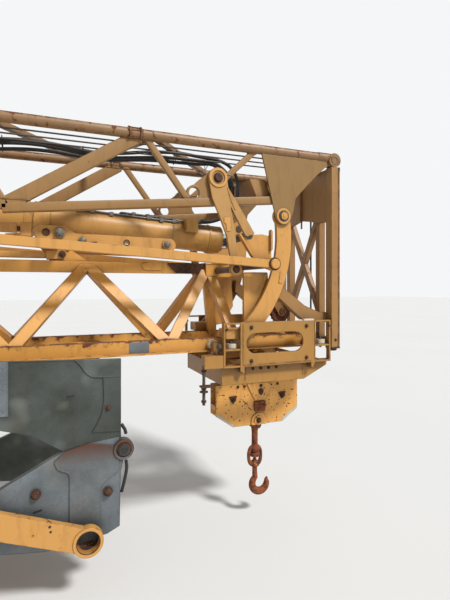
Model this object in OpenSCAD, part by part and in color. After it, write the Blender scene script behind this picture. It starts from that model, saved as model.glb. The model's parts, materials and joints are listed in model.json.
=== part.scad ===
// Self-erecting tower crane, folded: the mast lies on top, the jib root hangs below it,
// and the trolley, hook block and hook are parked at the head end.
// +X points to the head of the mast, +Y to the far side and +Z up.
// Distances named b are measured backwards from the head of the mast.

/* [Overall] */
// Length from the rear face of the ballast to the head of the mast
overall_l = 7300; // [7250:10:7600]
// Full width over the outriggers and the ballast
overall_w = 1900; // [1800:10:2200]

/* [Mast lattice] */
// Width of the mast, centre to centre of the top chords
mast_w = 720; // [716:1:730]
// Width across the flats of a top chord
chord_d = 60; // [50:1:64]
// Height of the top chords' centre line
top_z = 2530; // [2510:5:2560]
// Height of the bottom chords' centre line
low_z = 2080; // [2070:1:2090]
// Side of the square bottom chord
low_chord = 50; // [40:1:50]
// Distance between the bottom chords, centre to centre
low_w = 680; // [670:1:690]
// Distance of the head bay's bottom node from the head
low_node_b = 2090; // [2060:5:2110]
// Number of whole bays behind the head bay
bay_n = 4; // [3:1:4]
// Run of the wide diagonal along the mast
wide_run = 690; // [600:10:720]
// Depth of the wide flat diagonal
wide_d = 78; // [60:1:90]
// Depth of the thin diagonal
thin_d = 38; // [30:1:50]
// Thickness of the diagonals across the mast
diag_t = 30; // [20:1:34]
// Side of the lacing bars
lace_d = 36; // [24:1:40]
// Radius of the mast's hinge pin
hinge_r = 35; // [25:1:40]
// Outer radius of the mast's hinge lug
lug_r = 62; // [55:1:70]
// Thickness of a hinge lug
lug_t = 30; // [20:1:30]

/* [Head] */
// Side of the square posts of the head frame
post_d = 66; // [60:1:70]
// Height of the foot of the head posts
post_low_z = 1240; // [1200:5:1260]
// Radius of the eye that ends each top chord
eye_r = 47; // [40:1:48]
// Radius of the hole in that eye
eye_hole_r = 16; // [8:1:20]
// Thickness of the gusset plates
gusset_t = 12; // [8:1:14]
// Distance of the jib pivot from the head
pivot_b = 458; // [452:1:462]
// Height of the jib pivot
pivot_z = 2111; // [2106:1:2116]
// Radius of the jib pivot pin
pivot_r = 25; // [18:1:28]
// Thickness of the curved arms
arm_t = 25; // [18:1:26]
// Outer radius of the curved arms' sweep
sweep_r = 890; // [880:1:896]
// Width of the curved arms
arm_w = 108; // [100:1:112]
// Side of the tie bars
tie_d = 50; // [40:1:50]
// Thickness of the links
link_t = 20; // [14:1:22]
// Thickness of the quadrant plates
quadrant_t = 15; // [10:1:16]

/* [Cylinder] */
// Outer radius of the folding cylinder's barrel
barrel_r = 93; // [80:1:96]
// Radius of the piston rod
rod_r = 45; // [30:1:50]
// Radius of the pins at the cylinder's ends
cyl_pin_r = 25; // [18:1:28]

/* [Jib] */
// Number of whole bays of the folded jib
jib_n = 5; // [4:1:6]
// Distance of the first whole bay's bottom node from the head
jib_node_b = 1182; // [1170:1:1190]
// Distance of the jib's end from the head
jib_end_b = 120; // [118:1:130]
// Height of the apex chord's centre line
apex_z = 1775; // [1770:1:1785]
// Depth of the apex chord
apex_d = 70; // [60:1:72]
// Width of the apex chord
apex_w = 60; // [50:1:64]
// Distance from the centre plane to a bottom chord's centre line
jib_half = 228; // [222:1:230]
// Width of a bottom chord
jib_chord_w = 60; // [50:1:62]
// Depth of a bottom chord
jib_chord_d = 80; // [70:1:84]
// Height of the bottom chords' underside
jib_low_z = 1245; // [1243:1:1250]
// Width of the running ledge beside a bottom chord
ledge_w = 42; // [38:1:44]
// Thickness of the running ledge
ledge_t = 8; // [6:1:10]
// Depth of the jib's diagonals
jib_diag_d = 50; // [40:1:54]
// Width of the jib's diagonals
jib_diag_w = 62; // [50:1:66]

/* [Trolley] */
// Distance of the trolley's rear end from the head
trolley_rear_b = 887; // [880:1:890]
// Distance of the trolley's front end from the head
trolley_front_b = 107; // [104:1:110]
// Distance from the centre plane to the outer face of a trolley side
trolley_half = 400; // [396:1:402]
// Thickness of the trolley's plates
trolley_t = 12; // [8:1:14]
// Radius of the running wheels
wheel_r = 32; // [28:1:33]
// Radius of the guide rollers
roller_r = 34; // [28:1:36]
// Height of the underside of the trolley's frame
trolley_low_z = 1035; // [1028:1:1045]
// Height of the top of the trolley's frame
trolley_box_z = 1150; // [1140:1:1156]
// Distance from the centre plane to the outer face of the trolley's frame
frame_half = 350; // [346:1:352]
// Length of the slot in a trolley side
slot_l = 413; // [380:1:420]
// Height of the slot in a trolley side
slot_h = 128; // [100:1:130]

/* [Hook block] */
// Distance of the hook block's middle from the head
block_b = 482; // [480:1:485]
// Length of the hook block's cheeks
block_l = 643; // [630:1:650]
// Height of the cheeks' lower edge
block_low_z = 670; // [660:1:680]
// Height of the cheeks' upper edge
block_top_z = 968; // [960:1:970]
// Gap between the cheeks
block_gap = 88; // [80:1:92]
// Thickness of a cheek
cheek_t = 12; // [8:1:14]
// Distance between the two sheave axles
axle_span = 389; // [385:1:392]
// Height of the sheave axles
axle_z = 865; // [862:1:868]
// Pitch radius of the block's sheaves
sheave_r = 85; // [80:1:86]
// Width of a sheave
sheave_w = 30; // [26:1:34]
// Diameter of the hoist rope
rope_d = 10; // [8:1:11]
// Radius of the hook's shank
shank_r = 25; // [20:1:26]
// Radius to the middle of the hook's bowl
hook_r = 57; // [52:1:58]
// Radius of the hook's section
hook_d = 25; // [20:1:26]

/* [Base] */
// Height of the chassis underside
chassis_low_z = 350; // [340:5:360]
// Height of the chassis top
chassis_top_z = 700; // [690:5:710]
// Width of a chassis beam
beam_w = 120; // [100:5:130]
// Distance from the centre plane to the middle of a chassis beam
beam_y = 460; // [458:1:464]
// Distance of the chassis front from the head
chassis_front_b = 2250; // [2240:5:2300]
// Number of bays between the chassis cross beams
cross_n = 6; // [5:1:8]
// Distance of the front outrigger from the head
front_rigger_b = 2700; // [2650:10:2750]
// Depth and width of an outrigger beam
rigger_d = 160; // [120:5:180]
// Radius of a foot pad
pad_r = 120; // [90:5:130]
// Thickness of a foot pad
pad_t = 25; // [15:1:40]
// Thickness of the sheet on a front bracket
sheet_t = 6; // [4:1:8]
// Thickness of the plate of a front bracket
bracket_t = 30; // [20:1:34]
// Radius of the boss on a front bracket
boss_r = 56; // [50:1:60]
// Outer radius of the eye of a support arm
arm_eye_r = 77; // [72:1:84]
// Bore radius of the eye of a support arm
arm_bore_r = 56; // [40:1:58]
// Thickness of a support arm
support_t = 40; // [30:1:44]
// Outer radius of the slewing ring
ring_r = 420; // [380:5:440]
// Height of the platform's top
platform_z = 980; // [970:5:990]
// Height of the slewing ring
ring_h = 90; // [80:5:100]
// Thickness of a mast post
mast_post_t = 30; // [20:1:34]
// Height of the ballast's top
ballast_z = 1900; // [1800:10:1940]
// Number of ballast slabs
slab_n = 4; // [2:1:5]

/* [Clearances] */
// Gap where one piece seats on another
seat = 0.3; // [0.2:0.1:0.4]
// Radial clearance of a pin in its bore
pin_gap = 0.5; // [0.4:0.1:0.8]
// Side gap between plates that turn on one pin
side_gap = 5; // [4:0.5:6]

/* [Hidden] */
nose_b = 20;
head_x = overall_l / 2 + nose_b;
tail_b = overall_l + nose_b;
hinge_b = tail_b - 1020;
bay_l = (hinge_b - 210 - low_node_b) / bay_n;
chassis_rear_b = hinge_b + 200;
rear_rigger_b = hinge_b + 50;
ring_b = hinge_b - 1700;
eye_b = nose_b + eye_r;
post_b = nose_b + 9;
mast_y = mast_w / 2;
low_y = low_w / 2;
brace_y = low_y + low_chord / 2 - diag_t / 2 - 0.6;
low_out_y = low_y + low_chord / 2;
low_in_y = low_y - low_chord / 2;
top_in_y = mast_y - chord_d / 2;
chord_low_z = top_z - chord_d / 2;
last_node_b = low_node_b + bay_n * bay_l;
low_end_b = hinge_b - hinge_r - 25;
gusset_y = low_out_y + seat;
arm_out_y = gusset_y - side_gap;
eye_z = top_z - eye_r + chord_d / 2 + 1;
link_y = arm_out_y + side_gap;
tie_y = link_y + link_t + 10 + tie_d / 2;
tie_pin_b = pivot_b + 102;
tie_pin_z = pivot_z - 316;
tie_end_b = hinge_b - 1400;
tie_slope = 0.0612;
sweep_b = pivot_b - 68 + sweep_r;
sweep_z = pivot_z - 130;
sweep_low = -60;
sweep_high = 7;
top_run = 550;
strut_p = [2107, 2060];
strut_q = [500, mz(0.302)];
link_top = [918, mz(0.529)];
link_low = [798, 1760];
link_pin_r = 24;
eyelet = [1062, mz(0.309)];
cyl_rear = [2560, 2102];
cyl_front = [700, 1975];
jib_bay = (hinge_b - 618 - jib_node_b) / jib_n;
jib_back_b = jib_node_b + jib_n * jib_bay;
head_sheave = [275, 1470];
head_sheave_r = 68;
jib_foot_b = 855;
jib_root_b = 730;
foot_rear = 880;
chord_in_y = jib_half - jib_chord_w / 2;
chord_out_y = jib_half + jib_chord_w / 2;
ledge_y = chord_out_y + ledge_w;
jib_top_z = jib_low_z + jib_chord_d;
ledge_z = jib_low_z + ledge_t;
wheel_z = ledge_z + wheel_r + seat;
wheel_w = ledge_w - 6;
trolley_in_y = trolley_half - trolley_t;
wheel_rear_b = trolley_rear_b + 28;
wheel_front_b = trolley_front_b + 108;
roller_y = ledge_y + side_gap + roller_r;
shelf_z = jib_low_z + 10;
flange_z = trolley_box_z + 1;
slot_b = 528;
slot_z = 1297;
mid_sheave_r = axle_span / 2 - sheave_r;
end_sheave_r = 36;
trolley_sheave_z = 1085;
cheek_y = block_gap / 2 + cheek_t;
nut_z = 455;
port_z = 2100;
link_top_z = 490;
link_low_z = 355;
link_w = 120;
hook_c = [block_b - 10 - hook_r / 2, 224];
mast_post_y = link_y + link_t + 45 + mast_post_t / 2;
platform_low_z = chassis_top_z + ring_h;
bracket_boss = [1506, 773];
arm_eye = [1697, 347];
arm_root = [2480, 650];
support_y = beam_y + beam_w / 2 + support_t / 2 + seat;

// X of a point that lies b behind the head
function fx(b) = head_x - b;

// Height at the share f of the mast's depth
function mz(f) = low_z + f * (top_z - low_z);

// Point on the side view, b behind the head and z high
function side(b, z) = [fx(b), z];

// Point in space from a distance behind the head
function at(b, y, z) = [fx(b), y, z];

// Straight bar in the side view, w deep, between two points
module bar(p, q, w) {
    n = [p[1] - q[1], q[0] - p[0]] / norm(q - p) * w / 2;
    outline([p + n, q + n, q - n, p - n]);
}

// Height of the square strut's centre line
function strut_z(b) = strut_p[1] + (strut_q[1] - strut_p[1]) * (strut_p[0] - b) / (strut_p[0] - strut_q[0]);

// Height of the cylinder's axis
function cyl_z(b) = cyl_front[1] + (cyl_rear[1] - cyl_front[1]) * (b - cyl_front[0]) / (cyl_rear[0] - cyl_front[0]);

// Rectangular bar, w across and h in its own plane
module beam(p, q, w, h) {
    v = q - p;
    l = norm(v);
    translate(p)
        rotate([0, acos(v[2] / l), atan2(v[1], v[0])])
            translate([-h / 2, -w / 2, 0])
                cube([h, w, l]);
}

// Bar of n sides, d across its flats
module rod(p, q, d, n = 8) {
    v = q - p;
    l = norm(v);
    translate(p)
        rotate([0, acos(v[2] / l), atan2(v[1], v[0])])
            rotate([0, 0, 180 / n])
                cylinder(h = l, d = d / cos(180 / n), $fn = n);
}

// Round bar between two points
module round_bar(p, q, r) {
    v = q - p;
    l = norm(v);
    translate(p)
        rotate([0, acos(v[2] / l), atan2(v[1], v[0])])
            cylinder(h = l, r = r, $fn = 32);
}

// Plate of thickness t whose side view is the child outline, centred at y
module wall(y, t) {
    translate([0, y + t / 2, 0])
        rotate([90, 0, 0])
            linear_extrude(t)
                children();
}

// Round bar across the crane
module cross(b, z, r, y0, y1) {
    translate([fx(b), y1, z])
        rotate([90, 0, 0])
            cylinder(h = y1 - y0, r = r, $fn = 32);
}

// Flat strip of width w between two points seen from above, b behind the head
module strip(b0, y0, b1, y1, w) {
    p = [fx(b0), y0];
    q = [fx(b1), y1];
    n = [p[1] - q[1], q[0] - p[0]] / norm(q - p) * w / 2;
    polygon([p + n, q + n, q - n, p - n]);
}

// Flat bar of width w between two points of a plane
module zigzag(p, q, w) {
    n = [p[1] - q[1], q[0] - p[0]] / norm(q - p) * w / 2;
    polygon([p + n, q + n, q - n, p - n]);
}

// Zigzag of flat bars between the heights of two chords, cut off at the inner faces
module lacing(b_end, b_start, w, z, d) {
    translate([0, 0, z - d / 2])
        linear_extrude(d)
            intersection() {
                union()
                    children();
                translate([fx(b_end), -w])
                    square([b_end - b_start, 2 * w]);
            }
}

// Disc in the side view
module disc(p, r) {
    translate(side(p[0], p[1]))
        circle(r = r, $fn = 48);
}

// The child and its mirror image on the other side
module both() {
    children();
    mirror([0, 1, 0])
        children();
}

// Outline through points given as distance behind the head and height
module outline(points) {
    polygon([for (p = points) side(p[0], p[1])]);
}

// Box from its near lower rear corner to its far upper front corner
module block(b0, b1, y0, y1, z0, z1) {
    translate([fx(b0), y0, z0])
        cube([b0 - b1, y1 - y0, z1 - z0]);
}

module chassis() {
    color("darkgray") {
        both()
            block(chassis_rear_b, chassis_front_b, beam_y - beam_w / 2, beam_y + beam_w / 2,
                chassis_low_z, chassis_top_z);
        for (i = [0:cross_n])
            let (b = chassis_front_b + i * (chassis_rear_b - chassis_front_b - beam_w) / cross_n)
                block(b + beam_w, b, beam_w / 2 - beam_y - 1, beam_y - beam_w / 2 + 1,
                    chassis_low_z + 60, chassis_top_z);
    }
}

// Outrigger beam with a screw jack at each end
module outrigger(b) {
    r = rigger_d / 2;
    beam_top = chassis_low_z - seat;
    jack_y = overall_w / 2 - pad_r;
    difference() {
        union() {
            block(b + r, b - r, -overall_w / 2 + 40, overall_w / 2 - 40, beam_top - rigger_d, beam_top);
            both()
                translate([fx(b), jack_y, beam_top - rigger_d - 30])
                    cylinder(h = rigger_d + 210, r = 55, $fn = 32);
        }
        both()
            translate([fx(b), jack_y, beam_top - rigger_d - 31])
                cylinder(h = rigger_d + 120, r = 35, $fn = 32);
    }
}

module outrigger_front() {
    color("goldenrod") outrigger(front_rigger_b);
}

module outrigger_rear() {
    color("goldenrod") outrigger(rear_rigger_b);
}

module foot_pads() {
    jack_y = overall_w / 2 - pad_r;
    color("dimgray")
        for (b = [front_rigger_b, rear_rigger_b])
            both()
                translate([fx(b), jack_y, 0]) {
                    cylinder(h = pad_t, r = pad_r, $fn = 48);
                    cylinder(h = chassis_low_z - seat - 31 + 90 - seat, r = 35 - seat, $fn = 32);
                }
}

module front_bracket() {
    y = beam_y;
    face = y + bracket_t / 2;
    front = bracket_boss[0];
    boss_z = bracket_boss[1];
    root = chassis_front_b - seat;
    color("silver") {
        wall(y, bracket_t) {
            outline([[root, chassis_low_z], [root, 595], [2108, 652], [1811, 803], [1690, 828],
                [front + 20, boss_z + boss_r + 14], [front, boss_z - boss_r], [front + 15, 650],
                [front + 20, 359], [front + 86, 329], [1900, 300]]);
            disc(bracket_boss, boss_r);
            outline([[chassis_front_b + 90, chassis_top_z + seat], [chassis_front_b + 90, 1280],
                [chassis_front_b + 10, 1280], [chassis_front_b + 10, chassis_top_z + seat]]);
        }
        cross(front, boss_z, boss_r, y, face + 12);
        cross(front, boss_z, 26, y, face + 30);
        cross(1945, 604, 24, y, face + 10);
        cross(1589, 559, 24, y, face + 10);
        wall(face - sheet_t / 2 + 2, sheet_t)
            outline([[chassis_front_b + 90, 975], [chassis_front_b + 90, 1288], [front + 13, 1261],
                [front + 13, boss_z + boss_r + 5], [1690, 824], [1811, 799], [1961, 899], [2108, 942]]);
    }
}

module front_brackets() {
    both() front_bracket();
}

module support_arm() {
    v = arm_root - arm_eye;
    n = [-v[1], v[0]] / norm(v) * 62;
    wall(support_y, support_t)
        difference() {
            union() {
                disc(arm_eye, arm_eye_r);
                disc(arm_root, 70);
                outline([arm_eye + n, arm_root + n, arm_root - n, arm_eye - n]);
            }
            disc(arm_eye, arm_bore_r);
        }
}

module support_arms() {
    color("gold") both() support_arm();
}

module slew_ring() {
    color("dimgray")
        translate([fx(ring_b), 0, chassis_top_z + seat])
            difference() {
                cylinder(h = ring_h - 2 * seat, r = ring_r, $fn = 64);
                translate([0, 0, -1])
                    cylinder(h = ring_h + 2, r = ring_r - 90, $fn = 64);
            }
}

module platform() {
    tail = tail_b - 70;
    front = ring_b - 1600;
    beam_in = 300;
    color("goldenrod") {
        both()
            block(tail, front, beam_in, beam_in + beam_w, platform_low_z, platform_z);
        block(ring_b + 600, ring_b - 600, -beam_in - 1, beam_in + 1, platform_low_z, platform_z);
        block(tail, hinge_b - 350, -700, 700, platform_low_z, platform_z);
    }
}

module mast_post() {
    y = mast_post_y;
    wall(y, mast_post_t)
        difference() {
            union() {
                disc([hinge_b, low_z], 80);
                outline([[hinge_b + 320, platform_z + seat], [hinge_b + 76, low_z + 25],
                    [hinge_b - 76, low_z + 25], [hinge_b - 320, platform_z + seat]]);
            }
            outline([[hinge_b + 170, platform_z + 200], [hinge_b + 60, low_z - 350],
                [hinge_b - 60, low_z - 350], [hinge_b - 170, platform_z + 200]]);
        }
    cross(hinge_b, low_z, hinge_r, low_out_y, y);
}

module mast_posts() {
    color("goldenrod") both() mast_post();
}

module ballast() {
    rear_b = tail_b;
    front_b = hinge_b + 340;
    h = (ballast_z - platform_z) / slab_n;
    color("gray")
        for (i = [0:slab_n - 1])
            block(rear_b, front_b, -overall_w / 2, overall_w / 2,
                platform_z + i * h + seat, platform_z + (i + 1) * h);
}

module winch() {
    z = platform_z + 125;
    color("firebrick") {
        cross(ring_b + 100, z, 80, -200, 200);
        both()
            cross(ring_b + 100, z, 115, 200, 215);
        both()
            block(ring_b + 200, ring_b, 215 + seat, 235, platform_z + seat, z + 40);
    }
}

module control_cabinet() {
    color("lightgray")
        block(hinge_b - 20, hinge_b - 300, -280, 280, platform_z + seat, platform_z + 720);
}

module jib_cradle() {
    color("goldenrod")
        difference() {
            block(ring_b - 1340, ring_b - 1420, seat - 300, 300 - seat, platform_z - 60, jib_low_z - seat);
            block(ring_b - 1339, ring_b - 1421, -140, 140, platform_z - 61, jib_low_z - 60);
        }
}

// One flat side of the mast: chords, diagonals, the head bay's square strut and the link bracket
module mast_side(s) {
    eye_side = chord_d / 2 + 3;
    color("goldenrod")
        difference() {
            union() {
                rod(at(last_node_b, s * mast_y, top_z), at(eye_b, s * mast_y, top_z), chord_d, 12);
                cross(eye_b, eye_z, eye_r, s * mast_y - eye_side, s * mast_y + eye_side);
                wall(s * low_y, low_chord)
                    union() {
                        bar([low_end_b, low_z], [low_node_b, low_z], low_chord);
                        bar(strut_p, strut_q, low_chord);
                    }
                wall(s * brace_y, diag_t)
                    union() {
                        bar([last_node_b, top_z - 12], [low_end_b - 40, low_z], wide_d);
                        for (i = [0:bay_n])
                            let (b = low_node_b + i * bay_l) {
                                bar([b, low_z], [b - wide_run, top_z - 12], wide_d);
                                bar([b - wide_run - 40, top_z - 8],
                                    [b - bay_l, i == 0 ? strut_z(b - bay_l) : low_z], thin_d);
                            }
                        bar([link_top[0] - 50, link_top[1]], [650, top_z - 8], thin_d);
                    }
                wall(s * (arm_out_y - arm_t / 2), arm_t)
                    union() {
                        disc(link_top, 62);
                        disc(eyelet, 48);
                        outline([[link_top[0] + 52, link_top[1] + 30], [eyelet[0] + 24, eyelet[1] + 40],
                            [eyelet[0] + 30, strut_z(eyelet[0] + 30)], [840, strut_z(840)],
                            [link_top[0] - 60, link_top[1] - 10]]);
                    }
            }
            cross(eye_b, eye_z, eye_hole_r, s * mast_y - 80, s * mast_y + 80);
            cross(eyelet[0], eyelet[1], 34, s * mast_y - 80, s * mast_y + 80);
            cross(link_top[0], link_top[1], link_pin_r + pin_gap, s * mast_y - 80, s * mast_y + 80);
        }
}

module mast_side_near() {
    mast_side(-1);
}

module mast_side_far() {
    mast_side(1);
}

module mast_top_lacing() {
    color("goldenrod")
        lacing(last_node_b, 90, top_in_y - seat, top_z, lace_d)
            for (i = [0:bay_n])
                let (b = low_node_b + 110 + i * bay_l) {
                    strip(b, -mast_y, b - top_run, mast_y, lace_d);
                    strip(b - top_run, mast_y, b - 0.9 * bay_l, -mast_y, lace_d);
                    strip(b - 0.9 * bay_l, -mast_y, b - 0.9 * bay_l - top_run, mast_y, i == 0 ? lace_d : 1);
                }
}

module mast_bottom_lacing() {
    color("goldenrod")
        lacing(last_node_b + 60, low_node_b, low_in_y - seat, low_z, lace_d)
            for (i = [1:bay_n])
                let (b = low_node_b + i * bay_l, m = i == 1 ? cyl_rear[0] + 80 : b - bay_l / 2) {
                    strip(b, -low_y, b, low_y, lace_d);
                    strip(b, -low_y, m, low_y, lace_d);
                    if (i > 1)
                        strip(m, low_y, b - bay_l, -low_y, lace_d);
                    else
                        strip(m, -low_y, m, low_y, lace_d);
                }
}

module mast_foot() {
    y = gusset_y + lug_t / 2;
    color("goldenrod") {
        both()
            wall(y, lug_t)
                difference() {
                    union() {
                        disc([hinge_b, low_z], lug_r);
                        outline([[hinge_b, low_z + lug_r], [hinge_b - 420, low_z + 24],
                            [hinge_b - 420, low_z - 24], [hinge_b, low_z - lug_r]]);
                    }
                    disc([hinge_b, low_z], hinge_r + pin_gap);
                }
        rod(at(hinge_b - 350, -gusset_y - 1, low_z - low_chord / 2 - 30 - seat),
            at(hinge_b - 350, gusset_y + 1, low_z - low_chord / 2 - 30 - seat), 60, 8);
        both()
            block(hinge_b - 320, hinge_b - 380, gusset_y, gusset_y + lug_t, low_z - 85, low_z - 20);
    }
}

// Posts, web plate, uprights, crossed bars and the two knee braces of the mast's head
module head_frame() {
    b0 = post_b + post_d;
    y0 = mast_y - post_d / 2;
    y1 = mast_y + post_d / 2;
    post_top = eye_z - eye_r - seat;
    web_low = low_z + 20;
    foot = post_low_z + 60;
    front = post_b + 3;
    color("goldenrod") {
        both()
            block(b0, post_b, y0, y1, post_low_z, post_top);
        translate([fx(b0 - 10), 0, 0])
            rotate([90, 0, 90])
                linear_extrude(12)
                    polygon([[-y0 - 1, post_top - 2], [y0 + 1, post_top - 2], [y0 + 1, web_low],
                        [215, web_low + 4], [120, web_low + 28], [0, web_low + 48], [-120, web_low + 28],
                        [-215, web_low + 4], [-y0 - 1, web_low]]);
        block(b0 + 6, b0 - 12, -5, 5, web_low + 46, post_top - 4);
        both()
            block(front + 50, front, 184, 226, foot - 1, web_low + 40);
        translate([fx(front + 44), 0, 0])
            rotate([90, 0, 90])
                linear_extrude(34)
                    union() {
                        zigzag([-195, web_low + 68], [205, 1462], 42);
                        zigzag([195, web_low + 68], [-205, 1462], 42);
                    }
        block(b0 - 5, post_b + 5, -y0 - 1, y0 + 1, post_low_z + 1, foot);
        wall(0, 2 * low_in_y + 30)
            outline([[681, mz(0.59)], [573, mz(0.59)], [522, strut_z(522) + low_chord / 2 + 0.6],
                [630, strut_z(630) + low_chord / 2 + 0.6]]);
        both()
            wall(310, 50)
                outline([[505, 1702], [273, 1526], [159, 1480], [60, 1474], [60, 1403], [286, 1429],
                    [512, 1614]]);
        rod(at(350, -290, 1569), at(350, 290, 1569), 48, 12);
        both()
            wall(28, 12)
                difference() {
                    union() {
                        disc(head_sheave, 34);
                        outline([[378, 1570], [322, 1590], [head_sheave[0] - 20, head_sheave[1] + 27],
                            [head_sheave[0] + 20, head_sheave[1] - 27]]);
                    }
                    disc(head_sheave, 20 + pin_gap);
                }
    }
}

module head_sheaves() {
    color("saddlebrown")
        sheave(head_sheave[0], head_sheave[1], head_sheave_r, 42);
}

module gussets() {
    color("goldenrod")
        both()
            wall(gusset_y + gusset_t / 2, gusset_t)
                difference() {
                    union() {
                        outline([[614, chord_low_z - seat], [118, chord_low_z - seat], [118, mz(0.86)],
                            [140, mz(0.831)], [203, mz(0.709)], [289, mz(0.52)], [366, mz(0.34)],
                            [385, mz(0.136)], [400, pivot_z - 4], [pivot_b, pivot_z - 58],
                            [516, pivot_z]]);
                        disc([pivot_b, pivot_z], 58);
                    }
                    disc([pivot_b, pivot_z], pivot_r + pin_gap);
                }
}

module pivot_pins() {
    color("dimgray")
        both() {
            cross(pivot_b, pivot_z, pivot_r, arm_out_y - arm_t - 8, gusset_y + gusset_t + 12);
            cross(pivot_b, pivot_z, 34, gusset_y + gusset_t + seat, gusset_y + gusset_t + 8);
            cross(link_top[0], link_top[1], link_pin_r, arm_out_y - arm_t - 8, link_y + link_t + 12);
        }
    color("dimgray") {
        cross(tie_pin_b, tie_pin_z, 25, -tie_y - tie_d / 2 - 14, tie_y + tie_d / 2 + 14);
        cross(link_low[0], link_low[1], 20, -link_y - link_t - 8, link_y + link_t + 8);
        cross(cyl_front[0], cyl_front[1], cyl_pin_r, 1 - link_y, link_y - 1);
    }
}

// Flat ring sector in the side view, centred on the sweep of the curved arm
module arm_sweep(t) {
    translate([fx(sweep_b), 0, sweep_z])
        rotate([90, 0, 0])
            rotate([0, 0, sweep_low])
                rotate_extrude(angle = sweep_high - sweep_low, $fn = 128)
                    translate([sweep_r - arm_w, -t / 2])
                        square([arm_w, t]);
}

module curved_arms() {
    foot_z = jib_top_z + seat;
    y = arm_out_y - arm_t / 2;
    color("goldenrod")
        both() {
            difference() {
                union() {
                    translate([0, y, 0]) arm_sweep(arm_t);
                    cross(pivot_b, pivot_z, 60, y - arm_t / 2 - 2, arm_out_y - 1);
                    block(855, 688, chord_out_y - 18, arm_out_y - 1, foot_z, foot_z + 60);
                    wall(306, 12)
                        outline([[712, foot_z + 30], [712, 1742], [540, 1742], [524, 1500], [610, foot_z + 40],
                            [690, foot_z + 30]]);
                }
                cross(pivot_b, pivot_z, pivot_r + pin_gap, y - arm_t, y + arm_t);
                block(960, 500, 0, arm_out_y + 10, foot_z - 300, foot_z);
            }
        }
}

// Link with the slanting bar that holds the quadrant plate
module links() {
    color("goldenrod")
        both()
            wall(link_y + link_t / 2, link_t)
                difference() {
                    union() {
                        disc(link_top, 62);
                        disc(link_low, 40);
                        outline([[link_top[0] + 61, link_top[1] - 10], [957, mz(0.253)], [916, mz(0.056)],
                            [891, 2045], [861, 1970], [849, 1909], [840, 1850], [link_low[0] + 38, link_low[1]],
                            [link_low[0] - 38, link_low[1]], [790, 1856], [799, 1942], [811, 2034],
                            [828, mz(0.069)], [841, mz(0.238)], [link_top[0] - 61, link_top[1] - 10]]);
                        outline([[859, mz(0.43)], [791, mz(0.211)], [673, 1991], [731, 1968],
                            [845, mz(0.19)], [850, mz(0.3)]]);
                    }
                    disc(link_top, link_pin_r + pin_gap);
                    disc(link_low, 20 + pin_gap);
                }
}

// Plate below the slanting bar with a flange along each side
module quadrants() {
    y = link_y - seat - quadrant_t;
    color("goldenrod")
        both()
            difference() {
                union() {
                    wall(y + quadrant_t / 2, quadrant_t)
                        union() {
                            outline([[541, 1888], [546, 2018], [556, 1977], [606, 1988], [660, 1983],
                                [698, 1971], [762, 1962], [777, 1979], [687, 1845], [600, 1775],
                                [tie_pin_b + 20, tie_pin_z - 24], [541, tie_pin_z]]);
                            disc([tie_pin_b, tie_pin_z], 32);
                            disc(cyl_front, 36);
                        }
                    wall(y + quadrant_t / 2 + 10.5, quadrant_t + 19)
                        union() {
                            outline([[541, 1890], [541, 2006], [550, 2018], [553, 2006], [553, 1880]]);
                            outline([[777, 1981], [687, 1846], [673, 1846], [763, 1981]]);
                        }
                }
                cross(tie_pin_b, tie_pin_z, 25 + pin_gap, y - 1, y + quadrant_t + 1);
                cross(cyl_front[0], cyl_front[1], cyl_pin_r + pin_gap, y - 1, y + quadrant_t + 1);
            }
}

module tie_bars() {
    end_b = tie_end_b;
    end_z = tie_pin_z + (end_b - tie_pin_b) * tie_slope;
    color("goldenrod")
        both() {
            difference() {
                union() {
                    beam(at(tie_pin_b + 20, tie_y, tie_pin_z + 1), at(end_b, tie_y, end_z), tie_d, tie_d);
                    cross(tie_pin_b, tie_pin_z, 42, tie_y - tie_d / 2, tie_y + tie_d / 2);
                }
                cross(tie_pin_b, tie_pin_z, 25 + pin_gap, tie_y - tie_d, tie_y + tie_d);
            }
            block(end_b + 60, end_b - 60, low_out_y + seat, tie_y, end_z - 20, end_z + 45);
        }
}

module cylinder_barrel() {
    front_b = 850;
    rear_b = cyl_rear[0] - 70;
    color("gold")
        difference() {
            union() {
                round_bar(at(rear_b, 0, cyl_z(rear_b)), at(front_b, 0, cyl_z(front_b)), barrel_r);
                round_bar(at(1960, 0, cyl_z(1960)), at(1870, 0, cyl_z(1870)), barrel_r + 12);
                cross(cyl_rear[0], cyl_rear[1], 60, -40, 40);
                block(cyl_rear[0], rear_b - 10, -40, 40, cyl_rear[1] - 50, cyl_rear[1] + 45);
                block(1900, 1800, -239.7, 239.7, 1925, 1980);
                block(1040, 960, -130, -30, 2010, port_z);
            }
            cross(cyl_rear[0], cyl_rear[1], cyl_pin_r + pin_gap, -60, 60);
            round_bar(at(1700, 0, cyl_z(1700)), at(front_b - 1, 0, cyl_z(front_b - 1)), rod_r + 3);
        }
    color("dimgray")
        cross(cyl_rear[0], cyl_rear[1], cyl_pin_r, -low_in_y + seat, low_in_y - seat);
}

module cylinder_rod() {
    color("silver")
        difference() {
            union() {
                round_bar(at(1650, 0, cyl_z(1650)), at(cyl_front[0], 0, cyl_front[1]), rod_r);
                cross(cyl_front[0], cyl_front[1], 55, -45, 45);
                round_bar(at(852, 0, cyl_z(852)), at(880, 0, cyl_z(880)), rod_r + 2.7);
            }
            cross(cyl_front[0], cyl_front[1], cyl_pin_r + pin_gap, -60, 60);
        }
}

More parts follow.
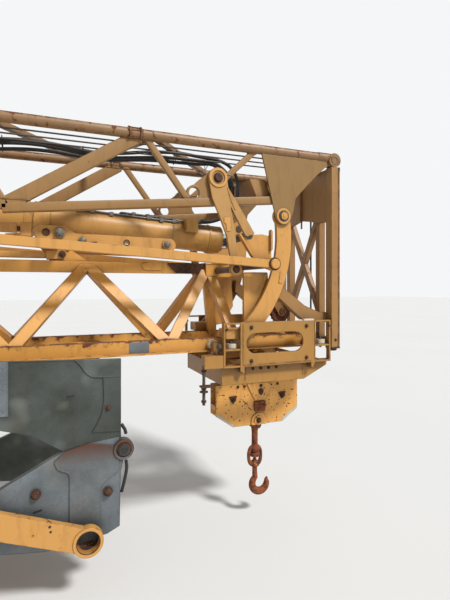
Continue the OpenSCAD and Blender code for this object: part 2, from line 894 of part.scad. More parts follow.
module link_plates() {
    y = 250;
    color("goldenrod")
        both() {
            wall(y, 20)
                difference() {
                    union() {
                        outline([[1970, 1960], [1940, 1995], [1800, 1995], [1740, 1955], [1190, 1945],
                            [1190, 1865], [1740, 1872], [1900, 1880]]);
                        disc([1190, 1905], 40);
                    }
                    disc([1894, 1954], 14);
                    disc([1450, 1912], 14);
                }
            cross(1823, 1954, 30, y + 10, y + 22);
            cross(1208, 1908, 28, y + 10, y + 22);
            cross(1701, 1913, 24, y + 10, y + 16);
        }
}

// Apex chord of the jib with the foot box, the pivot boss and the upright plate with two holes
module jib_apex() {
    color("goldenrod")
        difference() {
            union() {
                block(jib_back_b, foot_rear - 1, -apex_w / 2, apex_w / 2, apex_z - apex_d / 2, apex_z + apex_d / 2);
                block(foot_rear, 700, -62, 62, 1719, 1810);
                cross(659, 1772, 44, -62, 62);
                block(710, 659, -62, 62, 1728, 1806);
                wall(0, 16)
                    outline([[1880, apex_z], [1860, 1890], [1760, 1890], [1600, apex_z]]);
            }
            cross(link_low[0], link_low[1], 20 + pin_gap, -80, 80);
            cross(659, 1772, 22, -80, 80);
            cross(1800, 1850, 22, -20, 20);
            cross(1770, 1872, 10, -20, 20);
        }
}

// One sloping side of the jib with its bottom chord and running ledge
module jib_side() {
    g = seat;
    z_low = jib_low_z + jib_chord_d / 2;
    slope = [12 - jib_half, apex_z - z_low];
    h = norm(slope);
    color("darkorange")
        difference() {
            union() {
                translate([fx(jib_back_b), 0, 0])
                    rotate([90, 0, 90])
                        linear_extrude(jib_back_b - jib_end_b)
                            polygon([[chord_in_y, jib_low_z], [ledge_y, jib_low_z], [ledge_y, ledge_z],
                                [chord_out_y, ledge_z], [chord_out_y, jib_top_z], [chord_in_y, jib_top_z]]);
                translate([head_x, jib_half, z_low])
                    rotate([atan2(slope[1], slope[0]), 0, 0])
                        translate([0, 0, -jib_diag_d / 2])
                            linear_extrude(jib_diag_d)
                                union() {
                                    zigzag([-jib_root_b, 0], [-jib_foot_b, h + 10], jib_diag_w);
                                    zigzag([-jib_foot_b, h + 10], [-jib_node_b, 0], jib_diag_w);
                                    for (i = [0:jib_n - 1])
                                        let (b = jib_node_b + i * jib_bay, m = b + 0.525 * jib_bay) {
                                            zigzag([-b, 0], [-m, h + 10], jib_diag_w);
                                            zigzag([-m, h + 10], [-b - jib_bay, 0], jib_diag_w);
                                        }
                                }
            }
            block(jib_back_b + 100, 1, -apex_w / 2 - g, apex_w / 2 + g, apex_z - apex_d / 2 - g, 1950);
            block(foot_rear + 1, 600, -62 - g, 62 + g, 1719 - g, 1950);
            block(jib_back_b + 100, 1, -200, 0, jib_low_z - 50, 1950);
        }
}

module jib_side_near() {
    mirror([0, 1, 0])
        jib_side();
}

module jib_side_far() {
    jib_side();
}

module jib_lacing() {
    color("goldenrod")
        lacing(jib_back_b, jib_end_b, chord_in_y - seat, jib_low_z + 25, lace_d)
            union() {
                strip(jib_root_b, -jib_half, jib_root_b, jib_half, lace_d);
                strip(jib_root_b, -jib_half, jib_node_b, jib_half, lace_d);
                strip(jib_end_b + 40, -jib_half, jib_end_b + 40, jib_half, lace_d);
                strip(jib_end_b + 40, jib_half, jib_root_b, -jib_half, lace_d);
                for (i = [0:jib_n - 1])
                    let (b = jib_node_b + i * jib_bay) {
                        strip(b, -jib_half, b, jib_half, lace_d);
                        strip(b, -jib_half, b + jib_bay / 2, jib_half, lace_d);
                        strip(b + jib_bay / 2, jib_half, b + jib_bay, -jib_half, lace_d);
                    }
            }
}

module hoses() {
    z = top_z - lace_d / 2 - 11 - seat;
    d = 22;
    color("black")
        for (y = [-170, -140, -110]) {
            rod(at(last_node_b - 100, y, z), at(1145, y, z), d);
            rod(at(1155, y, z + 1), at(998, y + 60, mz(0.467)), d);
            rod(at(1000, y + 60, mz(0.489)), at(1000, y + 60, port_z + seat), d);
        }
}

// Slotted side plate with its flanges, ribs, end plates, roller shelves and wheel brackets
module trolley_side() {
    t = trolley_t;
    b0 = trolley_rear_b;
    b1 = trolley_front_b;
    top = 1430;
    h = slot_h / 2;
    end_y = arm_out_y + side_gap;
    axle_y = chord_out_y + 3 + wheel_w + side_gap;
    color("goldenrod") {
        wall(trolley_half - t / 2, t)
            difference() {
                union() {
                    outline([[b0 - 130, flange_z + 1], [b0 - 130, top], [b1 + 146, top], [b1 + 146, flange_z + 1]]);
                    outline([[b0 - 112, 1122], [b0 - 112, top], [b0 - 131, top], [b0 - 131, 1122]]);
                    outline([[b1 + 156, 1118], [b1 + 156, top], [b1 + 125, top], [b1 + 125, 1150],
                        [b1 + 138, 1118]]);
                }
                outline([[slot_b + slot_l / 2 - h, slot_z - h], [slot_b + slot_l / 2 - h, slot_z + h],
                    [slot_b - slot_l / 2 + h, slot_z + h], [slot_b - slot_l / 2 + h, slot_z - h]]);
                disc([slot_b + slot_l / 2 - h, slot_z], h);
                disc([slot_b - slot_l / 2 + h, slot_z], h);
            }
        block(b0, b1, trolley_in_y + 1, trolley_half - 1, top - 12, top - 1);
        block(b0, b1, frame_half - t, trolley_half - 1, flange_z, flange_z + t);
        block(b0 - 0.5, b0 - t, end_y, trolley_half - 0.5, flange_z + 1.5, top - 0.5);
        block(b1 + t, b1 + 0.5, end_y, trolley_half - 0.5, flange_z + 1.5, top - 0.5);
        block(b0 - 1, b0 - 125, roller_y - 30, trolley_half - 2, shelf_z, shelf_z + t);
        block(b1 + 140, b1 + 1, roller_y - 30, trolley_half - 2, shelf_z, shelf_z + t);
        block(b0 + 123, b0 - 1, frame_half - t + 1, trolley_half - 3, flange_z + 2, flange_z + 82);
        block(wheel_rear_b + 20, wheel_rear_b - 20, axle_y, axle_y + 50, flange_z + 50, wheel_z + 22);
        block(wheel_front_b + 20, wheel_front_b - 20, axle_y, axle_y + 30, shelf_z + 1, wheel_z + 22);
    }
}

module trolley_side_near() {
    mirror([0, 1, 0])
        trolley_side();
}

module trolley_side_far() {
    trolley_side();
}

module trolley_frame() {
    b0 = trolley_rear_b - 7;
    b1 = trolley_front_b;
    y = frame_half;
    t = trolley_t;
    low = trolley_low_z;
    top = trolley_box_z;
    color("goldenrod") {
        both()
            wall(y - t / 2, t)
                outline([[b0, low], [b0, top], [b1, top], [b1, 1120], [b1 + 180, low]]);
        block(b0 - 1, b0 - t, -y + 1, y - 1, low + 1, top - 1);
        block(b1 + t, b1 + 1, -y + 1, y - 1, 1122, top - 1);
        both()
            block(b0 - 2, b1 + 5, 34, 46, low + 20, top - 10);
        for (b = [b0 - 160, b1 + 190])
            both()
                block(b + 12, b, 40, y - 1, low + 18, top - 12);
    }
}

module trolley_wheels() {
    y0 = chord_out_y + 3;
    color("ivory")
        both() {
            for (b = [wheel_rear_b, wheel_front_b]) {
                cross(b, wheel_z, wheel_r, y0, y0 + wheel_w);
                cross(b, wheel_z, 12, y0, y0 + wheel_w + side_gap - seat);
            }
            for (b = [trolley_rear_b - 76, trolley_front_b + 42])
                translate([fx(b), roller_y, shelf_z + trolley_t + seat])
                    cylinder(h = 28, r = roller_r, $fn = 48);
        }
}

// Sheave of pitch radius r with a rope groove, on its own axle
module sheave(b, z, r, y_end) {
    translate([fx(b), 0, z])
        rotate([90, 0, 0]) {
            rotate_extrude($fn = 64)
                difference() {
                    translate([0, -sheave_w / 2])
                        square([r + rope_d, sheave_w]);
                    polygon([[r - rope_d / 2 - 1, -rope_d / 2 - 1], [r + rope_d + 1, -rope_d / 2 - 4],
                        [r + rope_d + 1, rope_d / 2 + 4], [r - rope_d / 2 - 1, rope_d / 2 + 1]]);
                }
            translate([0, 0, -y_end])
                cylinder(h = 2 * y_end, r = 20, $fn = 32);
        }
}

module trolley_sheaves() {
    color("saddlebrown") {
        sheave(block_b, trolley_sheave_z, mid_sheave_r, 34 - seat);
        sheave(block_b + axle_span / 2 + sheave_r + end_sheave_r, trolley_sheave_z, end_sheave_r, 34 - seat);
        sheave(block_b - axle_span / 2 - sheave_r - end_sheave_r, trolley_sheave_z, end_sheave_r, 34 - seat);
    }
}

module block_cheeks() {
    r = block_l / 2;
    color("orange")
        both()
            wall(block_gap / 2 + cheek_t / 2, cheek_t)
                difference() {
                    outline([[block_b + r, block_top_z], [block_b + r, block_low_z + 86],
                        [block_b + r - 125, block_low_z], [block_b - r + 125, block_low_z],
                        [block_b - r, block_low_z + 86], [block_b - r, block_top_z]]);
                    disc([block_b + axle_span / 2, axle_z], 20 + pin_gap);
                    disc([block_b - axle_span / 2, axle_z], 20 + pin_gap);
                    disc([block_b, 700], 16 + pin_gap);
                }
}

module block_sheaves() {
    color("saddlebrown")
        for (s = [-1, 1])
            sheave(block_b + s * axle_span / 2, axle_z, sheave_r, cheek_y + 10);
}

module block_crosshead() {
    color("saddlebrown") {
        block(block_b + 55, block_b - 55, -block_gap / 2 + seat, block_gap / 2 - seat, 600, 760);
        cross(block_b, 700, 16, -cheek_y - 12, cheek_y + 12);
        translate([fx(block_b), 0, nut_z - 5])
            cylinder(h = 600 - nut_z + 6, r = shank_r, $fn = 32);
        translate([fx(block_b), 0, nut_z - 30])
            cylinder(h = 30, r = 36, $fn = 32);
    }
}

module rope_falls() {
    z1 = trolley_sheave_z;
    color("dimgray")
        for (s = [-1, 1], t = [-1, 1])
            translate([fx(block_b + s * axle_span / 2 + t * sheave_r), 0, axle_z])
                cylinder(h = z1 - axle_z, d = rope_d, $fn = 16);
}

module swivel_link() {
    w = link_w / 2;
    color("saddlebrown")
        difference() {
            wall(0, 52)
                difference() {
                    outline([[block_b + w - 22, link_low_z], [block_b + w, link_low_z + 26],
                        [block_b + w, link_top_z - 34], [block_b + w - 26, link_top_z],
                        [block_b - w + 26, link_top_z], [block_b - w, link_top_z - 34],
                        [block_b - w, link_low_z + 26], [block_b - w + 22, link_low_z]]);
                    outline([[block_b + w - 18, link_low_z + 30], [block_b + w - 18, nut_z + seat],
                        [block_b - w + 18, nut_z + seat], [block_b - w + 18, link_low_z + 30]]);
                }
            translate([fx(block_b), 0, nut_z - 10])
                cylinder(h = 100, r = shank_r + pin_gap, $fn = 32);
        }
}

module hook() {
    c = hook_c;
    color("saddlebrown")
        union() {
            translate([fx(c[0]), 0, c[1]])
                rotate([90, 0, 0])
                    rotate([0, 0, 120])
                        rotate_extrude(angle = 255, $fn = 64)
                            translate([hook_r, 0])
                                circle(r = hook_d, $fn = 24);
            translate(at(c[0] + hook_r / 2, 0, c[1] + hook_r * sin(120)))
                cylinder(h = link_low_z - seat - c[1] - hook_r * sin(120), r = 20, $fn = 32);
            translate(at(c[0] + hook_r / 2, 0, c[1] + hook_r * sin(120)))
                sphere(r = hook_d, $fn = 24);
        }
}

chassis();
outrigger_front();
outrigger_rear();
foot_pads();
front_brackets();
support_arms();
slew_ring();
platform();
mast_posts();
ballast();
winch();
control_cabinet();
jib_cradle();
mast_side_near();
mast_side_far();
mast_top_lacing();
mast_bottom_lacing();
mast_foot();
head_frame();
head_sheaves();
gussets();
pivot_pins();
curved_arms();
links();
quadrants();
tie_bars();
cylinder_barrel();
cylinder_rod();
link_plates();
jib_apex();
jib_side_near();
jib_side_far();
jib_lacing();
hoses();
trolley_side_near();
trolley_side_far();
trolley_frame();
trolley_wheels();
trolley_sheaves();
block_cheeks();
block_sheaves();
block_crosshead();
rope_falls();
swivel_link();
hook();
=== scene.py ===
"""Looks of the folded self-erecting tower crane: finishes, welded tubes, fastenings, hoses and ropes."""

import json
import logging
import math
from collections.abc import Iterable, Mapping, Sequence
from dataclasses import dataclass
from enum import Enum

import bmesh
import bpy
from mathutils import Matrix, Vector, noise


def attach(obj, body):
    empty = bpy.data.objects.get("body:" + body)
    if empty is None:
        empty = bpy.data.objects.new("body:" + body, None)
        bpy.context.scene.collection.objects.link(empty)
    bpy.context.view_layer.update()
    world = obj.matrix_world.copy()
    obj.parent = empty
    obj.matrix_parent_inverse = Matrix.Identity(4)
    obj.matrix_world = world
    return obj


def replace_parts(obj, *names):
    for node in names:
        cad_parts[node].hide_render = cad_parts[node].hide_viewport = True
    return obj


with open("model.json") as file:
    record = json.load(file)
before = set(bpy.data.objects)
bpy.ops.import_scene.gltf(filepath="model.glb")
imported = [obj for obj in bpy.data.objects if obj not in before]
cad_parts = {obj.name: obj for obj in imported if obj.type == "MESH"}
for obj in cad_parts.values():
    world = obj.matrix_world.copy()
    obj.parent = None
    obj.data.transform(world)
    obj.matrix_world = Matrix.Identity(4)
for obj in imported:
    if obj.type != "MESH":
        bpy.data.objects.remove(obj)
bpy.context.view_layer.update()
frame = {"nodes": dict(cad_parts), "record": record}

LOG = logging.getLogger("crane")
# Distance behind the head and height of a point in the side view, in millimetres.
Spot = tuple[float, float]
# Two limits of one measure, in millimetres.
Span = tuple[float, float]
X, Y, Z = Vector((1, 0, 0)), Vector((0, 1, 0)), Vector((0, 0, 1))
# Near side and far side.
SIDES = (-1, 1)
# Place of the mast's head along X.
HEAD = 3670.0
# Middle of the eye that ends each top chord.
CHORD_EYE: Spot = (67.0, 2514.0)
# Least radius of a turned body, so that a pointed end keeps its faces.
POINT_R = 0.05
# Length of a ripple of a weld bead in millimetres, its pattern's scale and its height in metres.
BEAD_STEP = 9.0
BEAD_RIPPLE = 160.0
BEAD_UNEVEN = 0.0012


class Slot(Enum):
    """The record's material slots."""

    YELLOW = "yellow_paint"
    ORANGE = "orange_paint"
    GALVANISED = "galvanised"
    DARK = "dark_steel"
    RUSTY = "rusty_steel"
    ROPE = "rope_steel"
    CHROME = "chrome_rod"
    RUBBER = "hose_rubber"
    NYLON = "roller_plastic"
    CABINET = "cabinet_paint"
    CONCRETE = "concrete"


def linear(colour: str) -> tuple[float, float, float, float]:
    """Turns an sRGB hex colour into linear light.

    Args:
        colour: Six hex digits with or without the hash sign.

    Returns:
        Red, green, blue and an alpha of 1.
    """
    digits = colour.lstrip("#")
    parts = [int(digits[i : i + 2], 16) / 255 for i in (0, 2, 4)]
    return (*(p / 12.92 if p <= 0.04045 else ((p + 0.055) / 1.055) ** 2.4 for p in parts), 1.0)


def per_mm(size: float) -> float:
    """Pattern scale, in repeats a metre, for features of that size in millimetres."""
    return 1000.0 / size


def add(
    tree: bpy.types.NodeTree,
    kind: str,
    settings: Mapping[str | int, object] | None = None,
    links: Mapping[str | int, object] | None = None,
) -> bpy.types.Node:
    """Adds one shader node with its settings and links.

    Args:
        tree: The material's or the world's node tree.
        kind: The node's type without its ShaderNode prefix, and its operation or data type after a colon.
        settings: Values by attribute name, input name or input number.
        links: Sockets, or nodes whose first output is meant, by input name or number.

    Returns:
        The new node.
    """
    name, _, option = kind.partition(":")
    node = tree.nodes.new("ShaderNode" + name)
    if option:
        setattr(node, "data_type" if name == "Mix" else "operation", option)
    for key, value in (settings or {}).items():
        if isinstance(key, str) and hasattr(node, key):
            setattr(node, key, value)
        else:
            node.inputs[key].default_value = value
    for key, source in (links or {}).items():
        output = source.outputs[0] if isinstance(source, bpy.types.Node) else source
        tree.links.new(output, node.inputs[key])
    return node


@dataclass(frozen=True)
class Finish:
    """A surface as it left the works and as years outdoors have left it."""

    name: str
    slot: Slot

    def surface(self, tree: bpy.types.NodeTree, at: bpy.types.Node) -> Mapping[str, object]:
        """Adds the finish's own nodes.

        Args:
            tree: The material's node tree.
            at: Texture Coordinate node, whose Object output stays with the piece.

        Returns:
            Links for the Principled BSDF by input name.
        """
        raise NotImplementedError

    def constants(self) -> Mapping[str, object]:
        """Values that are the same all over the surface."""
        return {}

    def relief(
        self, tree: bpy.types.NodeTree, height: bpy.types.Node, strength: float, depth: float, edge: float
    ) -> bpy.types.Node:
        """Adds the relief of the surface over edges that catch the light.

        Args:
            tree: The material's node tree.
            height: Node whose first output is the height.
            strength: Share of the relief that shows.
            depth: Its depth in millimetres.
            edge: Radius of the broken edges in millimetres.

        Returns:
            The node with the normal.
        """
        broken = add(tree, "Bevel", {"samples": 4, "Radius": edge / 1000})
        settings = {"Strength": strength, "Distance": depth / 1000}
        return add(tree, "Bump", settings, {"Height": height, "Normal": broken})

    def material(self) -> bpy.types.Material:
        """The material, made once and then shared."""
        made = bpy.data.materials.get(self.name)
        if made is None:
            made = bpy.data.materials.new(self.name)
            made.use_nodes = True
            tree = made.node_tree
            tree.nodes.clear()
            at = add(tree, "TexCoord")
            shader = add(tree, "BsdfPrincipled", self.constants(), self.surface(tree, at))
            add(tree, "OutputMaterial", links={"Surface": shader})
        return made


@dataclass(frozen=True)
class Enamel(Finish):
    """Alkyd enamel sprayed on rolled steel: chalky in the sun, and lost to brown rust from its edges."""

    colour: str = "#E0A24C"
    faded: str = "#D39A52"
    # Colour of the dirt runs, and of the painted shade laid in corners.
    grime_and_shade: str = "#4E3A22"
    rust_top: float = 0.12
    rust_edge: float = 0.15
    rust_all: float = 0.0
    corner: float = 7.0
    gloss: float = 0.46
    # Share of the grime colour that corners take as painted shade.
    corner_shade_share: float = 0.55
    spots: float = 0.0
    line_z: float = 0.0

    def worn(self, tree: bpy.types.NodeTree, at: bpy.types.Node) -> bpy.types.Node:
        """How far the paint is worn: blisters, edges and faces that look up.

        Args:
            tree: The material's node tree.
            at: Texture Coordinate node.

        Returns:
            A node whose first output is the wear.
        """
        place = at.outputs["Object"]
        # Blisters of rust are 10 to 50 mm across.
        limits = {"Scale": per_mm(55), "Detail": 8.0, "Roughness": 0.66}
        blister = add(tree, "TexNoise", limits, {"Vector": place})
        upward = add(tree, "SeparateXYZ", links={0: at.outputs["Normal"]})
        limits = {"From Min": 0.35, "From Max": 0.95, "To Max": self.rust_top}
        top = add(tree, "MapRange", limits, {"Value": upward.outputs[2]})
        corner = add(tree, "Bevel", {"samples": 4, "Radius": self.corner / 1000})
        shape = add(tree, "NewGeometry")
        flat = add(tree, "VectorMath:DOT_PRODUCT", links={0: corner, 1: shape.outputs["Normal"]})
        limits = {"From Min": 0.995, "From Max": 0.86, "To Max": self.rust_edge}
        edge = add(tree, "MapRange", limits, {"Value": flat.outputs["Value"]})
        lift = add(tree, "Math:ADD", links={0: top, 1: edge})
        total = add(tree, "Math:ADD", links={0: lift, 1: blister})
        if self.line_z:
            # Water stands along the top edge of the chord, and rust runs 40 mm down from there.
            height = add(tree, "SeparateXYZ", links={0: place})
            limits = {"From Min": self.line_z - 0.045, "From Max": self.line_z, "To Max": 0.17}
            wet = add(tree, "MapRange", limits, {"Value": height.outputs[2]})
            limits = {
                "From Min": self.line_z + 0.004, "From Max": self.line_z + 0.02,
                "To Min": 1.0, "To Max": 0.0,
            }
            below = add(tree, "MapRange", limits, {"Value": height.outputs[2]})
            band = add(tree, "Math:MULTIPLY", links={0: wet, 1: below})
            total = add(tree, "Math:ADD", links={0: total, 1: band})
        if self.spots:
            # Chips that went down to the steel: each bleeds a round spot 4 to 14 mm wide.
            limits = {"Scale": per_mm(self.spots), "Randomness": 1.0}
            chips = add(tree, "TexVoronoi", limits, {"Vector": place})
            size = add(tree, "SeparateColor", links={0: chips.outputs["Color"]})
            reach = add(tree, "Math:MULTIPLY", {1: 0.3}, {0: size})
            gap = add(tree, "Math:SUBTRACT", links={0: reach, 1: chips.outputs["Distance"]})
            limits = {"From Min": -0.06, "From Max": 0.05, "To Max": 0.32}
            spot = add(tree, "MapRange", limits, {"Value": gap})
            total = add(tree, "Math:ADD", links={0: total, 1: spot})
        return total

    def surface(self, tree: bpy.types.NodeTree, at: bpy.types.Node) -> Mapping[str, object]:
        """Enamel, dirt runs, painted shade in its corners, rust halo and rust, in that order from the cleanest
        state.
        """
        place = at.outputs["Object"]
        cloud = add(tree, "TexNoise", {"Scale": per_mm(420), "Detail": 4.0}, {"Vector": place})
        paint = add(tree, "Mix:RGBA", {6: linear(self.colour), 7: linear(self.faded)}, {0: cloud})
        # Rain draws the dirt into runs about 40 mm wide and four times as long.
        runs = add(tree, "Mapping", {"Scale": (1.0, 1.0, 0.25)}, {"Vector": place})
        run = add(tree, "TexNoise", {"Scale": per_mm(42), "Detail": 5.0, "Roughness": 0.62}, {"Vector": runs})
        streak = add(tree, "MapRange", {"From Min": 0.5, "From Max": 0.85, "To Max": 0.42}, {"Value": run})
        # Painted shade: corners take the grime colour, to about 90 mm from them.
        nook = add(tree, "AmbientOcclusion", {"samples": 5, "Distance": 0.09})
        limits = {"From Min": 0.95, "From Max": 0.3, "To Max": self.corner_shade_share}
        corner_shade = add(tree, "MapRange", limits, {"Value": nook.outputs["AO"]})
        dirt_and_shade = add(tree, "Math:MAXIMUM", links={0: streak, 1: corner_shade})
        darkened = add(tree, "Mix:RGBA", {7: linear(self.grime_and_shade)}, {0: dirt_and_shade, 6: paint.outputs[2]})
        total = self.worn(tree, at)
        limits = {"From Min": 0.6 - self.rust_all, "From Max": 0.74, "To Max": 0.6}
        halo = add(tree, "MapRange", limits, {"Value": total})
        limits = {"From Min": 0.69 - self.rust_all, "From Max": 0.74 - self.rust_all}
        rust = add(tree, "MapRange", limits, {"Value": total})
        grain = add(tree, "TexNoise", {"Scale": per_mm(9), "Detail": 4.0}, {"Vector": place})
        brown = add(tree, "Mix:RGBA", {6: linear("#3A1E12"), 7: linear("#7E4A28")}, {0: grain})
        stained = add(tree, "Mix:RGBA", {7: linear("#8E6231")}, {0: halo, 6: darkened.outputs[2]})
        final = add(tree, "Mix:RGBA", links={0: rust, 6: stained.outputs[2], 7: brown.outputs[2]})
        rough = add(tree, "MapRange", {"To Min": self.gloss, "To Max": 0.88}, {"Value": rust})
        skin = add(tree, "TexNoise", {"Scale": per_mm(5), "Detail": 2.0}, {"Vector": place})
        height = add(tree, "Math:MULTIPLY_ADD", links={0: rust, 1: grain, 2: skin})
        bump = self.relief(tree, height, 0.35, 0.8, 4)
        return {"Base Color": final.outputs[2], "Roughness": rough, "Normal": bump}


@dataclass(frozen=True)
class Galvanised(Finish):
    """Steel dipped in zinc: a dull cool grey of fine crystals, with pale oxide clouds, dirt runs and painted
    shade in its corners.
    """

    dark: str = "#5C6263"
    light: str = "#7F8687"
    crystal_mm: float = 9.0
    cloud_tint: str = "#A09C7E"
    clouds: float = 0.3
    brown: float = 0.5
    sheen: float = 0.35
    line_z: float = 0.0

    def constants(self) -> Mapping[str, object]:
        """Zinc's sheen under its oxide."""
        return {"Metallic": self.sheen}

    def surface(self, tree: bpy.types.NodeTree, at: bpy.types.Node) -> Mapping[str, object]:
        """Crystals, oxide clouds, painted shade in corners and brown runs."""
        place = at.outputs["Object"]
        crystal = add(tree, "TexVoronoi", {"Scale": per_mm(self.crystal_mm)}, {"Vector": place})
        grey = add(tree, "SeparateColor", links={0: crystal.outputs["Color"]})
        limits = {"Scale": per_mm(260), "Detail": 5.0, "Roughness": 0.6}
        cloud = add(tree, "TexNoise", limits, {"Vector": place})
        tones = {6: linear(self.dark), 7: linear(self.light)}
        spread = add(tree, "MapRange", {"From Min": 0.3, "From Max": 0.7}, {"Value": cloud})
        base = add(tree, "Mix:RGBA", tones, {0: spread})
        facet = add(tree, "MapRange", {"To Min": 0.93, "To Max": 1.07}, {"Value": grey})
        tone = add(tree, "VectorMath:SCALE", links={0: base.outputs[2], "Scale": facet})
        # Wet storage leaves pale yellowish clouds 80 to 150 mm wide.
        apart = add(tree, "Mapping", {"Location": (5.2, 1.7, 3.1)}, {"Vector": place})
        bloom = add(tree, "TexNoise", {"Scale": per_mm(300), "Detail": 2.0}, {"Vector": apart})
        limits = {"From Min": 0.55, "From Max": 0.72, "To Max": self.clouds}
        pale = add(tree, "MapRange", limits, {"Value": bloom})
        hues = {6: linear(self.cloud_tint), 7: linear("#8F999C")}
        tint = add(tree, "Mix:RGBA", hues, {0: spread})
        oxide = add(tree, "Mix:RGBA", links={0: pale, 6: tone, 7: tint.outputs[2]})
        # Painted shade: corners darken towards a near black, to about 120 mm from them.
        nook = add(tree, "AmbientOcclusion", {"samples": 5, "Distance": 0.12})
        limits = {"From Min": 0.95, "From Max": 0.35, "To Max": 0.6}
        corner_shade = add(tree, "MapRange", limits, {"Value": nook.outputs["AO"]})
        darkened = add(tree, "Mix:RGBA", {7: linear("#2E2C28")}, {0: corner_shade, 6: oxide.outputs[2]})
        runs = add(tree, "Mapping", {"Scale": (1.0, 1.0, 0.3)}, {"Vector": place})
        run = add(tree, "TexNoise", {"Scale": per_mm(60), "Detail": 7.0, "Roughness": 0.7}, {"Vector": runs})
        limits = {"From Min": 0.62, "From Max": 0.8, "To Max": self.brown}
        stain = add(tree, "MapRange", limits, {"Value": run})
        if self.line_z:
            # Red rust from the pin above washes about 110 mm down the plate.
            height = add(tree, "SeparateXYZ", links={0: place})
            limits = {"From Min": self.line_z - 0.13, "From Max": self.line_z, "To Max": 0.75}
            wash = add(tree, "MapRange", limits, {"Value": height.outputs[2]})
            patchy = add(tree, "Math:MULTIPLY", links={0: wash, 1: cloud})
            limits = {"From Min": 0.04, "From Max": 0.3, "To Max": 0.95}
            wet = add(tree, "MapRange", limits, {"Value": patchy})
            stain = add(tree, "Math:MAXIMUM", links={0: stain, 1: wet})
        final = add(tree, "Mix:RGBA", {7: linear("#583626")}, {0: stain, 6: darkened.outputs[2]})
        rough = add(tree, "MapRange", {"To Min": 0.36, "To Max": 0.62}, {"Value": cloud})
        bump = self.relief(tree, cloud, 0.15, 0.6, 3)
        return {"Base Color": final.outputs[2], "Roughness": rough, "Normal": bump}


@dataclass(frozen=True)
class RustedSteel(Finish):
    """Forged or cast steel left bare: orange bloom over dark scale, pitted and quite without gloss."""

    dark: str = "#3C2016"
    bright: str = "#9C5226"
    paint: str = "#B9802F"
    paint_left: float = 0.0

    def surface(self, tree: bpy.types.NodeTree, at: bpy.types.Node) -> Mapping[str, object]:
        """Scale, bloom and what is left of the paint."""
        place = at.outputs["Object"]
        limits = {"Scale": per_mm(26), "Detail": 8.0, "Roughness": 0.7}
        bloom = add(tree, "TexNoise", limits, {"Vector": place})
        mask = add(tree, "MapRange", {"From Min": 0.36, "From Max": 0.66}, {"Value": bloom})
        rust = add(tree, "Mix:RGBA", {6: linear(self.dark), 7: linear(self.bright)}, {0: mask})
        limits = {"Scale": per_mm(60), "Detail": 6.0, "Roughness": 0.6}
        flake = add(tree, "TexNoise", limits, {"Vector": place})
        limits = {"From Min": 0.66 - self.paint_left, "From Max": 0.7 - self.paint_left}
        left = add(tree, "MapRange", limits, {"Value": flake})
        final = add(tree, "Mix:RGBA", {7: linear(self.paint)}, {0: left, 6: rust.outputs[2]})
        pits = add(tree, "TexNoise", {"Scale": per_mm(5), "Detail": 5.0}, {"Vector": place})
        bump = self.relief(tree, pits, 0.7, 1, 3)
        rough = add(tree, "MapRange", {"To Min": 0.72, "To Max": 0.95}, {"Value": bloom})
        return {"Base Color": final.outputs[2], "Roughness": rough, "Normal": bump}


@dataclass(frozen=True)
class TurnedSteel(Finish):
    """Turned pin steel under grease: dark and half bright, with brown gathering round it."""

    colour: str = "#5C5954"
    metallic: float = 0.8
    rust: float = 0.35
    roughness: float = 0.36

    def constants(self) -> Mapping[str, object]:
        """Bare metal."""
        return {"Metallic": self.metallic}

    def surface(self, tree: bpy.types.NodeTree, at: bpy.types.Node) -> Mapping[str, object]:
        """Steel with a brown film in patches."""
        place = at.outputs["Object"]
        limits = {"Scale": per_mm(30), "Detail": 6.0, "Roughness": 0.65}
        film = add(tree, "TexNoise", limits, {"Vector": place})
        limits = {"From Min": 0.45, "From Max": 0.75, "To Max": self.rust * 2}
        mask = add(tree, "MapRange", limits, {"Value": film})
        final = add(tree, "Mix:RGBA", {6: linear(self.colour), 7: linear("#5E4331")}, {0: mask})
        rough = add(tree, "MapRange", {"To Min": self.roughness, "To Max": 0.8}, {"Value": mask})
        bump = self.relief(tree, film, 0.15, 0.4, 1.5)
        return {"Base Color": final.outputs[2], "Roughness": rough, "Normal": bump}


@dataclass(frozen=True)
class Speckled(Finish):
    """A dull non-metal with a speckle: cast concrete, black hose rubber, moulded nylon or powder coat."""

    colour: str = "#A6A299"
    speck: str = "#807C74"
    speck_mm: float = 7.0
    stain: str = "#6B665C"
    stain_share: float = 0.4
    roughness: float = 0.85
    roughcast: float = 0.5

    def surface(self, tree: bpy.types.NodeTree, at: bpy.types.Node) -> Mapping[str, object]:
        """Ground colour, specks and stains."""
        place = at.outputs["Object"]
        speck = add(tree, "TexNoise", {"Scale": per_mm(self.speck_mm), "Detail": 4.0}, {"Vector": place})
        base = add(tree, "Mix:RGBA", {6: linear(self.colour), 7: linear(self.speck)}, {0: speck})
        limits = {"Scale": per_mm(170), "Detail": 6.0, "Roughness": 0.62}
        cloud = add(tree, "TexNoise", limits, {"Vector": place})
        limits = {"From Min": 0.45, "From Max": 0.8, "To Max": self.stain_share}
        mask = add(tree, "MapRange", limits, {"Value": cloud})
        final = add(tree, "Mix:RGBA", {7: linear(self.stain)}, {0: mask, 6: base.outputs[2]})
        limits = {"To Min": self.roughness - 0.08, "To Max": self.roughness + 0.08}
        rough = add(tree, "MapRange", limits, {"Value": cloud})
        bump = self.relief(tree, speck, self.roughcast, 1, 3)
        return {"Base Color": final.outputs[2], "Roughness": rough, "Normal": bump}


# Sun-bleached ochre that still shines a little, with painted shade in its corners.
YELLOW = Enamel("enamel_sprayed_yellow", Slot.YELLOW, colour="#D0974A", faded="#C48F4C", corner_shade_share=0.65)
# The lattice's yellow darkened and browned as painted shade, with rust along its edges.
MAST_PAINT = Enamel(
    "enamel_sprayed_yellow_painted_shade", Slot.YELLOW, colour="#9D733B", faded="#88663A", rust_top=0.16,
    rust_edge=0.21, corner_shade_share=0.75,
)
# A thicker brushed coat, cleaner than the lattice round it; its yellow is a little darkened as painted shade,
# less than the lattice's.
LINK_PAINT = Enamel("enamel_brushed_yellow", Slot.YELLOW, colour="#B98C4E", faded="#AD8249", corner_shade_share=0.65)
